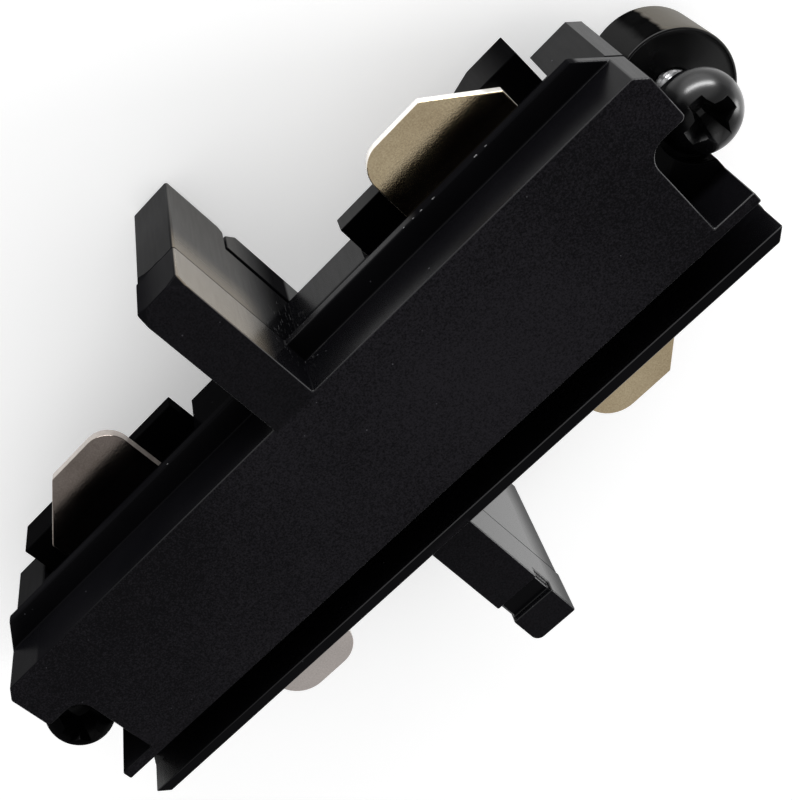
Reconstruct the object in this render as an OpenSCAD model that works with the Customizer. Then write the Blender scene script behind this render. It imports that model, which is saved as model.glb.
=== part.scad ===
/* [Track section] */
// Span across the two arms, equal to the width of the track
track_w = 35; // [34:0.5:38]
// Height of the joiner, equal to the depth of the track
track_h = 18.2; // [18:0.1:20]
// Depth of the track's lips, from the front plate to the flanges
lip_depth = 4.14; // [3.6:0.02:4.6]

/* [Front plate] */
// Length of the front plate
plate_l = 53.7; // [52:0.1:58]
// Width of the front plate
plate_w = 10.85; // [10:0.05:11.5]
// Distance of the plate's middle from the track's middle
plate_shift = 1.39; // [1:0.01:1.8]
// Size of the chamfer on the plate's two left corners
corner_c = 0.72; // [0.4:0.02:1]

/* [Flanges] */
// Thickness of the flanges
flange_t = 0.8; // [0.7:0.05:1]
// How far the left flange stands out from the plate
flange_reach = 1.65; // [1.2:0.05:2]
// Width of the groove beside the plate on the right
groove_w = 2.26; // [2:0.02:2.5]
// Thickness of the rim outside the groove
rim_t = 0.75; // [0.6:0.05:0.9]
// How far the rim's top lies below the plate's face
rim_drop = 0.34; // [0.1:0.02:0.8]

/* [Arms] */
// Thickness of the arms, which is the gap left between two tracks
arm_t = 3.34; // [3:0.02:4]
// How far the right arm's face lies below the plate's face
right_arm_drop = 0.63; // [0.2:0.01:1]
// Width of the shallow groove across the right arm
arm_groove_w = 1.55; // [1:0.05:2]

/* [Body] */
// Width of the body under the flanges
body_w = 13.6; // [13.2:0.1:13.8]
// Height of the body's back face above the rib's back face
body_z = 4.4; // [4.1:0.1:4.7]
// Thickness of the body's walls
wall = 1.4; // [1.2:0.1:1.6]
// Length of the rib that stands out behind the body
rib_l = 24.4; // [22:0.2:25]

/* [Contacts] */
// Thickness of a contact blade
blade_t = 0.9; // [0.6:0.1:1]
// Distance of the left blades' edge from the track's middle
blade_reach_left = 11.35; // [10.8:0.05:12]
// Distance of the right blades' edge from the track's middle
blade_reach_right = 11.9; // [11.5:0.05:12.5]
// Height of the left blades' underside
blade_z_left = 7.8; // [7.4:0.1:8]
// Height of the right blades' underside
blade_z_right = 11.5; // [11.2:0.1:11.6]

/* [End screws] */
// Distance of the screw's axis from the middle of the joiner
screw_x = 27.9; // [27.8:0.1:28.2]
// Radius of the screw's shank
screw_r = 1.25; // [1.2:0.05:1.3]
// Radius of the screw's head
head_r = 2.5; // [2.3:0.05:2.6]
// Radius of the clamp disc
disc_r = 3.85; // [3.7:0.05:3.9]
// Height of the clamp disc
disc_h = 6; // [5.6:0.1:6.2]

/* [Hidden] */
$fn = 48;
eps = 0.01;

black = [0.06, 0.06, 0.07];
gloss_black = [0.1, 0.1, 0.11];
nickel = [0.78, 0.72, 0.62];
copper = [0.72, 0.45, 0.3];
steel = [0.3, 0.3, 0.32];

// Levels, from the rib's back face upward
plate_z = track_h;
flange_z = track_h - lip_depth;
parting_z = flange_z - flange_t;
roof_t = 1.2;
back_plate_t = 1.2;
rib_gap = 0.55;
arm_back_z = 1.1;
arm_low_z = 4.6;

// Distances from the track's middle, positive to the left
plate_left = plate_shift + plate_w / 2;
plate_right = plate_shift - plate_w / 2;
flange_left = plate_left + flange_reach;
rim_in = plate_right - groove_w;
rim_out = rim_in - rim_t;
body_half = body_w / 2;
arm_half = track_w / 2;
plate_half = plate_l / 2;
parting_step = 0.06;
arm_edge_r = 0.2;
tip_cut = 0.9;
tip_drop = 0.5;
foot_cut = 0.4;

// Pocket at each end of the plate, round the screw
pocket_x = 23.98;
pocket_left = 2.95;
pocket_right = -3.3;
pocket_r = 1.2;
pocket_flare_r = 0.3;

// Windows in the body's side walls, which the holders fill
window_x0 = 7.9;
window_x1 = 23.2;
holder_x0 = 8;
holder_x1 = 22.8;
holder_out = 8.9;
holder_lip_x0 = 7.1;
holder_lip_in = 4.7;
holder_low_a = 3.8;
holder_high_a = 5.9;
holder_low_b = 4.4;
holder_high_b = 6.5;
holder_ramp_x0 = 17.1;
holder_ramp_x1 = 19.9;

// Contact blades and what joins them
left_blade_x = [11.5, 16.9, 20.8];
right_blade_x = [11.05, 16.33, 19.6];
right_blade_b_x1 = 17.74;
left_blade_r = 1.8;
right_blade_r = 2.2;
blade_bevel_drop = 3.25;
root_y = 2.2;
root_x0 = 13.4;
root_x1 = 17.4;
bus_y1 = 4.2;
bus_t = 0.8;
bus_half = 19.4;
rivet_x = 15.4;
rivet_y = 3.2;
rivet_r = 0.7;
rivet_head_r = 1.05;
rivet_head_t = 0.4;
rivet_sides = 24;

// Screw, lug, clip and disc at each end
head_z = 12;
head_h = 2.7;
head_rim = 0.6;
recess_w = 0.55;
recess_l = 2.3;
recess_d = 1.9;
recess_taper = 1.6;
recess_turn = -3;
screw_b_y = -0.4;
lug_top = 11.9;
lug_t = 1;
lug_r = 2.1;
lug_bore_r = screw_r + 0.05;
clip_top = lug_top - lug_t - 0.1;
clip_t = 0.4;
clip_r = 1.9;
clip_neck_r = 0.95;
shank_end = 1.9;
disc_z = 2.2;
disc_flat = 2.8;
disc_rim = 0.3;
dish_depth = 0.35;
slot_clear = 0.35;
screw_sides = 36;

// Screws that hold the covers to the body
cover_screw_r = 0.95;
cover_screw_clear = 1.1;
cover_screw_top = 16.6;
cover_head_r = 1.8;
cover_head_h = 1.2;
boss_r = 2;
inner_screw_x = 5.3;
outer_screw_x = 20.7;

// Outline in Y and Z, drawn along X between x0 and x1
module along_x(x0, x1) {
    translate([x0, 0, 0])
        rotate([90, 0, 90])
            linear_extrude(x1 - x0)
                children();
}

// A box given by its two opposite corners
module box(p, q) {
    translate(p)
        cube(q - p);
}

// The same piece at both ends of the joiner
module both_ends() {
    children();
    mirror([1, 0, 0])
        children();
}

// A bar that ends at y1, with one radius at its minus X corner and one at its plus X corner
module tongue(half_t, y0, y1, r_minus, r_plus) {
    translate([-half_t, y0])
        square([2 * half_t, y1 - max(r_minus, r_plus) - y0]);
    translate([-half_t, y0])
        square([half_t, y1 - r_minus - y0]);
    translate([0, y0])
        square([half_t, y1 - r_plus - y0]);
    translate([-half_t + r_minus, y0])
        square([2 * half_t - r_minus - r_plus, y1 - y0]);
    translate([-half_t + r_minus, y1 - r_minus])
        circle(r_minus);
    translate([half_t - r_plus, y1 - r_plus])
        circle(r_plus);
}

// Section of the front cover: plate, left flange, groove and rim
module cover_section() {
    draft = 0.2;
    polygon([
        [flange_left, parting_z],
        [flange_left, flange_z],
        [plate_left, flange_z],
        [plate_left, plate_z],
        [plate_right, plate_z],
        [plate_right, flange_z],
        [rim_in + draft, flange_z],
        [rim_in, flange_z + 1],
        [rim_in, plate_z - rim_drop],
        [rim_out, plate_z - rim_drop],
        [rim_out, parting_z]
    ]);
}

// Outline of the cover seen from the front, with its cut corners
module cover_outline() {
    end_cut = flange_reach;
    rim_cut = rim_t;
    half = [
        [0, flange_left],
        [plate_half - corner_c - end_cut, flange_left],
        [plate_half - corner_c, plate_left],
        [plate_half, plate_left - corner_c],
        [plate_half, rim_in],
        [plate_half - rim_cut, rim_out],
        [0, rim_out]
    ];
    both_ends()
        polygon(half);
}

// Pocket in the plate's end that gives room to the screw's head
module screw_pocket(z0, z1) {
    far_x = plate_half + 1;
    flare_x = plate_half - pocket_flare_r;
    flare_y = pocket_left + pocket_flare_r;
    translate([0, 0, z0])
        linear_extrude(z1 - z0) {
            translate([pocket_x, pocket_right])
                square([far_x - pocket_x, pocket_left - pocket_r - pocket_right]);
            translate([pocket_x + pocket_r, pocket_right])
                square([far_x - pocket_x - pocket_r, pocket_left - pocket_right]);
            translate([pocket_x + pocket_r, pocket_left - pocket_r])
                circle(pocket_r);
            difference() {
                translate([flare_x, pocket_left - eps])
                    square([far_x - flare_x, pocket_flare_r + eps]);
                translate([flare_x, flare_y])
                    circle(pocket_flare_r);
            }
        }
}

module front_cover() {
    hollow_x = 22.6;
    side_wall = 1.1;
    color(black)
        difference() {
            union() {
                intersection() {
                    along_x(-plate_half, plate_half)
                        cover_section();
                    linear_extrude(track_h + 1)
                        cover_outline();
                }
                left_arm_front();
                translate([0, 0, parting_z])
                    linear_extrude(plate_z - right_arm_drop - parting_z)
                        mirror([0, 1])
                            tongue(arm_t / 2, -rim_out - rim_t / 2, arm_half, 0.6, 0.15);
            }
            both_ends()
                screw_pocket(parting_z - 1, plate_z + 1);
            difference() {
                box([-hollow_x, plate_right + side_wall, parting_z - 1],
                    [hollow_x, plate_left - side_wall, plate_z - roof_t]);
                box([-arm_t / 2, plate_right, parting_z - 1],
                    [arm_t / 2, plate_left, plate_z]);
                both_ends()
                    for (x = [inner_screw_x, outer_screw_x])
                        translate([x, 0, parting_z - 1])
                            cylinder(r = boss_r, h = lip_depth + 2);
            }
            both_ends()
                for (x = [inner_screw_x, outer_screw_x])
                    translate([x, 0, parting_z - 1])
                        cylinder(r = cover_screw_r, h = cover_screw_top - parting_z + 1, $fn = screw_sides);
            right_arm_groove();
        }
}

// Front half of the left arm, with both corners of its tip cut down to a point
module left_arm_front() {
    difference() {
        translate([0, 0, parting_z])
            linear_extrude(plate_z - parting_z)
                tongue(arm_t / 2, 0, arm_half, arm_edge_r, arm_edge_r);
        both_ends()
            translate([arm_t / 2, arm_half, plate_z])
                corner_cut(tip_cut, tip_drop);
    }
}

// What is cut from a square corner, leg long on both sides and drop deep
module corner_cut(leg, drop) {
    tilt = atan(sqrt(2) * drop / leg);
    depth = 1 / sqrt(2 / pow(leg, 2) + 1 / pow(drop, 2));
    rotate([0, tilt, 45])
        translate([-leg, -2 * leg, -depth])
            cube([3 * leg, 4 * leg, 2 * leg]);
}

// Shallow groove over the front and round both sides of the right arm
module right_arm_groove() {
    depth = 0.5;
    side_depth = 0.22;
    side_reach = 1;
    y0 = -15.1;
    top = plate_z - right_arm_drop;
    box([-arm_t, y0, top - depth], [arm_t, y0 + arm_groove_w, top + 1]);
    for (side = [-1, 1])
        translate([side * arm_t / 2 - side_depth, y0, top - side_reach])
            cube([2 * side_depth, arm_groove_w, side_reach + 1]);
}

// Outline of the body seen from the front, with its cut corners
module body_outline() {
    both_ends()
        polygon([
            [0, body_half],
            [plate_half - corner_c, body_half],
            [plate_half, body_half - corner_c],
            [plate_half, -body_half + corner_c],
            [plate_half - corner_c, -body_half],
            [0, -body_half]
        ]);
}

// One arm of the body, which ends in a deeper foot past the rib
module body_arm(r_minus, r_plus) {
    foot_y = rib_l / 2 + 0.25;
    half_t = arm_t / 2 - parting_step;
    reach = arm_half - parting_step;
    translate([0, 0, arm_low_z])
        linear_extrude(parting_z - arm_low_z)
            tongue(half_t, 0, reach, r_minus, r_plus);
    difference() {
        translate([0, 0, arm_back_z])
            linear_extrude(parting_z - arm_back_z)
                tongue(half_t, foot_y, reach, r_minus, r_plus);
        translate([0, foot_y, arm_back_z])
            rotate([45, 0, 0])
                cube([2 * arm_t, sqrt(2) * foot_cut, sqrt(2) * foot_cut], center = true);
    }
}

module rear_body() {
    cavity_half = body_half - wall;
    web_half = 2.5;
    web_slot_half = 1.2;
    color(gloss_black)
        difference() {
            union() {
                translate([0, 0, body_z])
                    linear_extrude(parting_z - body_z)
                        body_outline();
                body_arm(arm_edge_r, arm_edge_r);
                mirror([0, 1, 0])
                    body_arm(0.6, 0.15);
                screw_lug();
                at_screw_b()
                    screw_lug();
            }
            both_ends() {
                difference() {
                    box([web_half, -cavity_half, body_z - 1],
                        [window_x1, cavity_half, parting_z + 1]);
                    for (x = [inner_screw_x, outer_screw_x])
                        translate([x, 0, body_z + back_plate_t])
                            cylinder(r = boss_r, h = parting_z - body_z);
                    box([web_half - 1, -boss_r, body_z + back_plate_t],
                        [inner_screw_x, boss_r, parting_z]);
                    box([outer_screw_x, -boss_r, body_z + back_plate_t],
                        [window_x1 + 1, boss_r, parting_z]);
                }
                for (x = [inner_screw_x, outer_screw_x])
                    translate([x, 0, body_z - 1])
                        cylinder(r = cover_screw_clear, h = parting_z - body_z + 2);
                box([window_x0, 0, body_z - 1],
                    [window_x1, body_half + 1, blade_z_left + blade_t + 0.05]);
                box([window_x0, -body_half - 1, body_z - 1],
                    [window_x1, 0, blade_z_right + blade_t + 0.05]);
            }
            end_recess();
            at_screw_b()
                end_recess();
            box([-web_half - 1, -cavity_half, body_z - 1],
                [web_half + 1, cavity_half, body_z + back_plate_t]);
            box([-web_half - 1, rivet_y - web_slot_half, body_z],
                [web_half + 1, rivet_y + web_slot_half, blade_z_left + blade_t + bus_t + 0.1]);
            box([-web_half - 1, -rivet_y - web_slot_half, body_z],
                [web_half + 1, -rivet_y + web_slot_half, blade_z_right + 0.1]);
        }
}

// Lug under the screw's head, which carries the screw
module screw_lug() {
    translate([0, 0, lug_top - lug_t])
        linear_extrude(lug_t) {
            translate([plate_half - 1, -lug_r])
                square([screw_x - plate_half + 1, 2 * lug_r]);
            translate([screw_x, 0])
                circle(lug_r);
        }
}

// Room in the body's end for the head, the lug's bore, the clip and the disc
module end_recess() {
    slot_x = screw_x - disc_flat - slot_clear;
    slot_half = disc_r + slot_clear;
    slot_top = disc_z + disc_h + slot_clear;
    translate([screw_x, 0, lug_top])
        cylinder(r = head_r + 0.4, h = parting_z - lug_top + 1);
    translate([screw_x, 0, lug_top - lug_t - 1])
        cylinder(r = lug_bore_r, h = lug_t + 2);
    translate([screw_x, 0, slot_top - 1])
        cylinder(r = clip_r + 0.4, h = lug_top - lug_t - slot_top + 1);
    box([slot_x, -slot_half, body_z - 1], [plate_half + 1, slot_half, slot_top]);
}

module rear_cover() {
    plate_x = 22.7;
    inner_half = holder_lip_in - 0.15;
    mid_x = holder_lip_x0 - 0.15;
    mid_half = body_half - wall - 0.05;
    rib_half_t = arm_t / 2 - 0.05;
    chamfer_y = 1;
    chamfer_z = 1.6;
    color(gloss_black)
        difference() {
            union() {
                box([-plate_x, -inner_half, body_z], [plate_x, inner_half, body_z + back_plate_t]);
                box([-mid_x, -mid_half, body_z], [mid_x, mid_half, body_z + back_plate_t]);
                along_x(-rib_half_t, rib_half_t)
                    polygon([
                        [-rib_l / 2, body_z - rib_gap],
                        [-rib_l / 2, chamfer_z],
                        [-rib_l / 2 + chamfer_y, 0],
                        [rib_l / 2 - chamfer_y, 0],
                        [rib_l / 2, chamfer_z],
                        [rib_l / 2, body_z - rib_gap]
                    ]);
                box([-rib_half_t, -mid_half, body_z - 1], [rib_half_t, mid_half, body_z + 0.5]);
            }
            both_ends()
                for (x = [inner_screw_x, outer_screw_x])
                    translate([x, 0, body_z - 1])
                        cylinder(r = cover_screw_clear, h = back_plate_t + 2);
        }
}

// Insulating block that fills a window and carries a blade on its top
module contact_holder(top, high, low) {
    lip_out = body_half - wall - 0.05;
    color(gloss_black) {
        translate([0, holder_out, 0])
            rotate([90, 0, 0])
                linear_extrude(holder_out - lip_out)
                    polygon([
                        [holder_x0, top],
                        [holder_x0, high],
                        [holder_ramp_x0, high],
                        [holder_ramp_x1, low],
                        [holder_x1, low],
                        [holder_x1, top]
                    ]);
        box([holder_lip_x0, holder_lip_in, body_z + 0.3], [holder_x1, lip_out, top]);
    }
}

// What is cut from a blade's corner to leave it round
module round_off(x, y, r) {
    difference() {
        translate([x - 1, y - r])
            square([r + 1, r + 1]);
        translate([x + r, y - r])
            circle(r);
    }
}

// Stamped blade: rounded towards the middle, bevelled or rounded towards the end
module contact_blade(xs, x1, reach, r, z0, bevelled) {
    shoulder_y = 5.5;
    drop = bevelled ? blade_bevel_drop : 0;
    color(nickel)
        translate([0, 0, z0])
            linear_extrude(blade_t)
                difference() {
                    polygon([
                        [xs[0], shoulder_y],
                        [xs[0], reach],
                        [xs[1], reach],
                        [x1, reach - drop],
                        [x1, shoulder_y],
                        [root_x1, shoulder_y],
                        [root_x1, root_y],
                        [root_x0, root_y],
                        [root_x0, shoulder_y]
                    ]);
                    round_off(xs[0], reach, r);
                    if (!bevelled)
                        translate([x1, 0])
                            mirror([1, 0])
                                round_off(0, reach, r);
                    translate([rivet_x, rivet_y])
                        circle(rivet_r, $fn = rivet_sides);
                }
}

module left_blade() {
    contact_blade(left_blade_x, left_blade_x[2], blade_reach_left, left_blade_r, blade_z_left, true);
}

module right_blade(x1, bevelled) {
    contact_blade(right_blade_x, x1, blade_reach_right, right_blade_r, blade_z_right, bevelled);
}

// Strip inside the body that joins the two blades of one side
module busbar(z0) {
    color(copper)
        translate([0, 0, z0])
            linear_extrude(bus_t)
                difference() {
                    translate([-bus_half, root_y])
                        square([2 * bus_half, bus_y1 - root_y]);
                    for (side = [-1, 1])
                        translate([side * rivet_x, rivet_y])
                            circle(rivet_r, $fn = rivet_sides);
                }
}

// Rivet through a blade's root and its busbar
module rivet(z0) {
    grip = blade_t + bus_t;
    color(copper)
        translate([rivet_x, rivet_y, z0]) {
            cylinder(r = rivet_r, h = grip, $fn = rivet_sides);
            translate([0, 0, -rivet_head_t])
                cylinder(r = rivet_head_r, h = rivet_head_t, $fn = rivet_sides);
            translate([0, 0, grip])
                cylinder(r = rivet_head_r, h = rivet_head_t, $fn = rivet_sides);
        }
}

// Domed pan-head screw with a tapered cross recess, necked for its clip
module end_screw() {
    dome_h = head_h - head_rim;
    color(steel)
        translate([screw_x, 0, 0])
            difference() {
                rotate_extrude($fn = screw_sides)
                    polygon([
                        [0, shank_end],
                        [screw_r - 0.3, shank_end],
                        [screw_r, shank_end + 0.4],
                        [screw_r, clip_top - clip_t],
                        [clip_neck_r, clip_top - clip_t],
                        [clip_neck_r, clip_top],
                        [screw_r, clip_top],
                        [screw_r, head_z],
                        [head_r - 0.25, head_z],
                        [head_r, head_z + 0.25],
                        for (a = [0:15:90])
                            [head_r * cos(a), head_z + head_rim + dome_h * sin(a)]
                    ]);
                translate([0, 0, head_z + head_h - recess_d])
                    rotate(recess_turn)
                        linear_extrude(recess_d + 0.1, scale = recess_taper)
                            for (turn = [0, 90])
                                rotate(turn)
                                    square([recess_l, recess_w], center = true);
            }
}

// Open ring that sits in the screw's neck under the lug
module retaining_clip() {
    gap = 1.4;
    color(nickel)
        translate([screw_x, 0, clip_top - clip_t])
            difference() {
                cylinder(r = clip_r, h = clip_t);
                translate([0, 0, -1])
                    cylinder(r = clip_neck_r, h = clip_t + 2);
                translate([0, -gap / 2, -1])
                    cube([clip_r + 1, gap, clip_t + 2]);
            }
}

// Turned disc, threaded on the screw and kept from turning by its flat
module clamp_disc() {
    edge = 0.25;
    dish_r = disc_r - disc_rim;
    color(black)
        translate([screw_x, 0, disc_z])
            difference() {
                rotate_extrude()
                    polygon([
                        [screw_r + 0.05, 0],
                        [disc_r - edge, 0],
                        [disc_r, edge],
                        [disc_r, disc_h - edge],
                        [disc_r - edge, disc_h],
                        [dish_r, disc_h],
                        [dish_r - 0.15, disc_h - 0.4 * dish_depth],
                        [screw_r + 0.6, disc_h - dish_depth],
                        [screw_r + 0.05, disc_h - dish_depth]
                    ]);
                translate([-disc_r - 1, -disc_r - 1, -1])
                    cube([disc_r + 1 - disc_flat, 2 * disc_r + 2, disc_h + 2]);
            }
}

// Pan-head self-tapping screw, driven in from the back
module cover_screw(x) {
    color(steel)
        translate([x, 0, body_z])
            union() {
                translate([0, 0, -cover_head_h])
                    cylinder(r = cover_head_r, h = cover_head_h, $fn = screw_sides);
                cylinder(r = cover_screw_r, h = cover_screw_top - body_z - 0.2, $fn = screw_sides);
            }
}

// A piece drawn for the plus X end, moved to its own corner
module at_left_a() {
    children();
}

module at_left_b() {
    mirror([1, 0, 0])
        children();
}

// The end screw's place at the minus X end, a little to one side
module at_screw_b() {
    translate([0, screw_b_y, 0])
        mirror([1, 0, 0])
            children();
}

module at_right_a() {
    mirror([0, 1, 0])
        children();
}

module at_right_b() {
    mirror([1, 0, 0])
        mirror([0, 1, 0])
            children();
}

front_cover();
rear_body();
rear_cover();
at_left_a() contact_holder(blade_z_left, holder_high_a, holder_low_a);  // contact_holder_left_a
at_left_b() contact_holder(blade_z_left, holder_high_b, holder_low_b);  // contact_holder_left_b
at_right_a() contact_holder(blade_z_right, holder_high_a, holder_low_a);  // contact_holder_right_a
at_right_b() contact_holder(blade_z_right, holder_high_b, holder_low_b);  // contact_holder_right_b
at_left_a() left_blade();  // contact_blade_left_a
at_left_b() left_blade();  // contact_blade_left_b
at_right_a() right_blade(right_blade_x[2], true);  // contact_blade_right_a
at_right_b() right_blade(right_blade_b_x1, false);  // contact_blade_right_b
busbar(blade_z_left + blade_t);  // busbar_left
at_right_a() busbar(blade_z_right - bus_t);  // busbar_right
at_left_a() rivet(blade_z_left);  // rivet_left_a
at_left_b() rivet(blade_z_left);  // rivet_left_b
at_right_a() rivet(blade_z_right - bus_t);  // rivet_right_a
at_right_b() rivet(blade_z_right - bus_t);  // rivet_right_b
at_left_a() end_screw();  // end_screw_a
at_screw_b() end_screw();  // end_screw_b
at_left_a() retaining_clip();  // retaining_clip_a
at_screw_b() retaining_clip();  // retaining_clip_b
at_left_a() clamp_disc();  // clamp_disc_a
at_screw_b() clamp_disc();  // clamp_disc_b
cover_screw(inner_screw_x);  // cover_screw_inner_a
cover_screw(-inner_screw_x);  // cover_screw_inner_b
cover_screw(outer_screw_x);  // cover_screw_outer_a
cover_screw(-outer_screw_x);  // cover_screw_outer_b
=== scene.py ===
"""Dresses the lighting track connector: finishes, fine detail, studio and camera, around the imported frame."""

from __future__ import annotations

import logging
import math
from dataclasses import dataclass
from enum import Enum
from functools import partial, reduce
from typing import Callable, NamedTuple, Sequence

import bmesh
import bpy
from mathutils import Matrix, Vector

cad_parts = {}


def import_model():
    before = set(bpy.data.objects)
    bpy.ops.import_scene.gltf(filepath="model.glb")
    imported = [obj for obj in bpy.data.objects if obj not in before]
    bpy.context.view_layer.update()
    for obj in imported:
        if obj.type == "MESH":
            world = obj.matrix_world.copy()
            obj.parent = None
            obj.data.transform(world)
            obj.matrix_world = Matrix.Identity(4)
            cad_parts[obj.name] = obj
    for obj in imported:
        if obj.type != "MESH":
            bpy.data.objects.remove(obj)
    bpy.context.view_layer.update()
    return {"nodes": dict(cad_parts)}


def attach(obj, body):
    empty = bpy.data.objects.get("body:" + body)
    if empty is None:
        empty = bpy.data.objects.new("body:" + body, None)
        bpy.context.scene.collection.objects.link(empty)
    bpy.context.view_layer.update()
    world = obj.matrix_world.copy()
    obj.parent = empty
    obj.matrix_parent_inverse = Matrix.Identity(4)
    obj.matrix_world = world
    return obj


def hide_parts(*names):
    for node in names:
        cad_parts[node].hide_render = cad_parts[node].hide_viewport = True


log = logging.getLogger("track_connector")

MM = 0.001
Colour = tuple[float, float, float]
Point = tuple[float, float, float]
Flat = tuple[float, float]
Socket = bpy.types.NodeSocket
Value = Socket | float


# Finishes


class Fade(NamedTuple):
    """A smooth change of the looks, read from a place or a tilt.

    Attributes:
        low: Where it starts.
        high: Where it ends.
        start: The value up to its start.
        end: The value from its end on.
    """

    low: float
    high: float
    start: float = 0.0
    end: float = 1.0


class Band(NamedTuple):
    """A stretch of places or tilts with soft ends.

    Attributes:
        low: Its lower end.
        high: Its upper end.
        soft: Width of the soft edge outside each end.
    """

    low: float
    high: float
    soft: float = 1e-4


class Grain(NamedTuple):
    """An uneven texture.

    Attributes:
        scale: Features to the metre.
        detail: Octaves of finer noise.
        stretch: Scale along each axis.
        rough: Strength of the finer octaves.
    """

    scale: float
    detail: float = 3.0
    stretch: Point = (1.0, 1.0, 1.0)
    rough: float = 0.5


class Relief(NamedTuple):
    """A bump in a surface.

    Attributes:
        strength: How much of it shows.
        depth: The height of a full step, in metres.
    """

    strength: float
    depth: float


class NodeSheet:
    """A material's node tree, with short calls to add and join its nodes."""

    def __init__(self, name: str) -> None:
        """Starts an empty material.

        Args:
            name: The material's name.
        """
        self.material = bpy.data.materials.new(name)
        self.material.use_nodes = True
        self.tree = self.material.node_tree
        self.tree.nodes.clear()
        self.shader = self.add("BsdfPrincipled", {})
        self.add("OutputMaterial", {0: self.shader.outputs[0]})
        coordinates = self.add("TexCoord", {})
        self.place: Socket = coordinates.outputs["Object"]
        self.facing: Socket = coordinates.outputs["Normal"]
        self.along, self.across, self.height = self.add("SeparateXYZ", {0: self.place}).outputs
        self.face_x, self.face_y, self.face_z = self.add("SeparateXYZ", {0: self.facing}).outputs
        self.upright = self.size(self.face_z)

    def add(self, kind: str, inputs: dict[int | str, object], **settings: str) -> bpy.types.ShaderNode:
        """Adds a node.

        Args:
            kind: The node's kind in Blender's list.
            inputs: Its sockets, each with the link or the value that it takes.
            **settings: Its own settings.

        Returns:
            The node.
        """
        node = self.tree.nodes.new(f"ShaderNode{kind}")
        for name, value in settings.items():
            setattr(node, name, value)
        for socket, value in inputs.items():
            self.feed(node.inputs[socket], value)
        return node

    def feed(self, target: Socket, value: object) -> None:
        """Gives a socket a link or a value of its own.

        Args:
            target: The socket that takes it.
            value: The link's source or the value.
        """
        if isinstance(value, Socket):
            self.tree.links.new(value, target)
        else:
            target.default_value = value

    def set(self, **values: object) -> None:
        """Sets the shader's own sockets.

        Args:
            **values: Socket names, with underscores for spaces, and their values.
        """
        for key, value in values.items():
            self.shader.inputs[key.replace("_", " ")].default_value = value

    def drive(self, name: str, source: Socket) -> None:
        """Links a value to one of the shader's sockets."""
        self.feed(self.shader.inputs[name], source)

    def reckon(self, operation: str, first: Value, second: Value = 0.0) -> Socket:
        """Adds a sum, by its name in Blender's list, on one or two values."""
        return self.add("Math", {0: first, 1: second}, operation=operation).outputs[0]

    def times(self, *factors: Value) -> Socket:
        """Multiplies factors."""
        return reduce(partial(self.reckon, "MULTIPLY"), factors)

    def plus(self, first: Value, second: Value) -> Socket:
        """Adds two values."""
        return self.reckon("ADD", first, second)

    def minus(self, first: Value, second: Value) -> Socket:
        """Takes the second value off the first."""
        return self.reckon("SUBTRACT", first, second)

    def largest(self, *values: Value) -> Socket:
        """Picks the largest of some values."""
        return reduce(partial(self.reckon, "MAXIMUM"), values)

    def size(self, value: Socket) -> Socket:
        """Drops a value's sign."""
        return self.reckon("ABSOLUTE", value)

    def spread(self, stretch: Point = (1.0, 1.0, 1.0), shift: Point = (0.0, 0.0, 0.0)) -> Socket:
        """Stretches the part's own coordinates after a shift in metres."""
        moved = tuple(-a * b for a, b in zip(shift, stretch))
        return self.add("Mapping", {"Scale": stretch, "Location": moved, "Vector": self.place}).outputs[0]

    def noise(self, grain: Grain) -> Socket:
        """Adds an uneven texture in the part's own frame."""
        inputs = {"Scale": grain.scale, "Detail": grain.detail, "Roughness": grain.rough}
        return self.add("TexNoise", {**inputs, "Vector": self.spread(grain.stretch)}).outputs[0]

    def cells(self, scale: float) -> tuple[Socket, Socket]:
        """Adds a cell texture in the part's own frame.

        Args:
            scale: Cells to the metre.

        Returns:
            The distance socket and the cells' own random value.
        """
        texture = self.add("TexVoronoi", {"Scale": scale, "Vector": self.spread()})
        chance = self.add("SeparateXYZ", {0: texture.outputs["Color"]}).outputs[0]
        return texture.outputs["Distance"], chance

    def radius(self, centre: Flat = (0.0, 0.0)) -> Socket:
        """Measures the distance, in metres, from an upright axis with its place in X and Y."""
        flat = self.spread((1.0, 1.0, 0.0), (*centre, 0.0))
        return self.add("VectorMath", {0: flat}, operation="LENGTH").outputs["Value"]

    def ramp(self, source: Socket, fade: Fade) -> Socket:
        """Maps a value as a fade says."""
        inputs = dict(zip(("Value", "From Min", "From Max", "To Min", "To Max"), (source, *fade)))
        return self.add("MapRange", inputs, interpolation_type="SMOOTHSTEP").outputs[0]

    def toward(self, direction: Point) -> Socket:
        """Measures how much the surface faces a direction of length 1: 1 toward it, -1 away from it."""
        return self.add("VectorMath", {0: self.facing, 1: direction}, operation="DOT_PRODUCT").outputs["Value"]

    def within(self, source: Socket, band: Band) -> Socket:
        """Finds where a value lies in a band: 1 inside it, 0 outside."""
        above = self.ramp(source, Fade(band.low - band.soft, band.low))
        return self.times(above, self.ramp(source, Fade(band.high, band.high + band.soft, 1.0, 0.0)))

    def mix(self, share: Socket, under: Value, over: Value) -> Socket:
        """Mixes two values, by the share that the second one has."""
        return self.add("Mix", {0: share, 2: under, 3: over}, data_type="FLOAT").outputs[0]

    def blend(self, share: Socket, under: Socket, over: Socket | Colour) -> Socket:
        """Lays a colour over another, by the share of it that shows."""
        upper = over if isinstance(over, Socket) else (*over, 1.0)
        return self.add("Mix", {0: share, 6: under, 7: upper}, data_type="RGBA").outputs[2]

    def grade(self, factor: Socket, stops: Flat, dark: Colour, light: Colour) -> Socket:
        """Turns a factor into a colour.

        Args:
            factor: The value to read.
            stops: The values that give the dark and the light colour.
            dark: The dark colour.
            light: The light colour.

        Returns:
            The colour socket.
        """
        node = self.add("ValToRGB", {0: factor})
        for element, position, colour in zip(node.color_ramp.elements, stops, (dark, light)):
            element.position = position
            element.color = (*colour, 1.0)
        return node.outputs[0]

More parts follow.
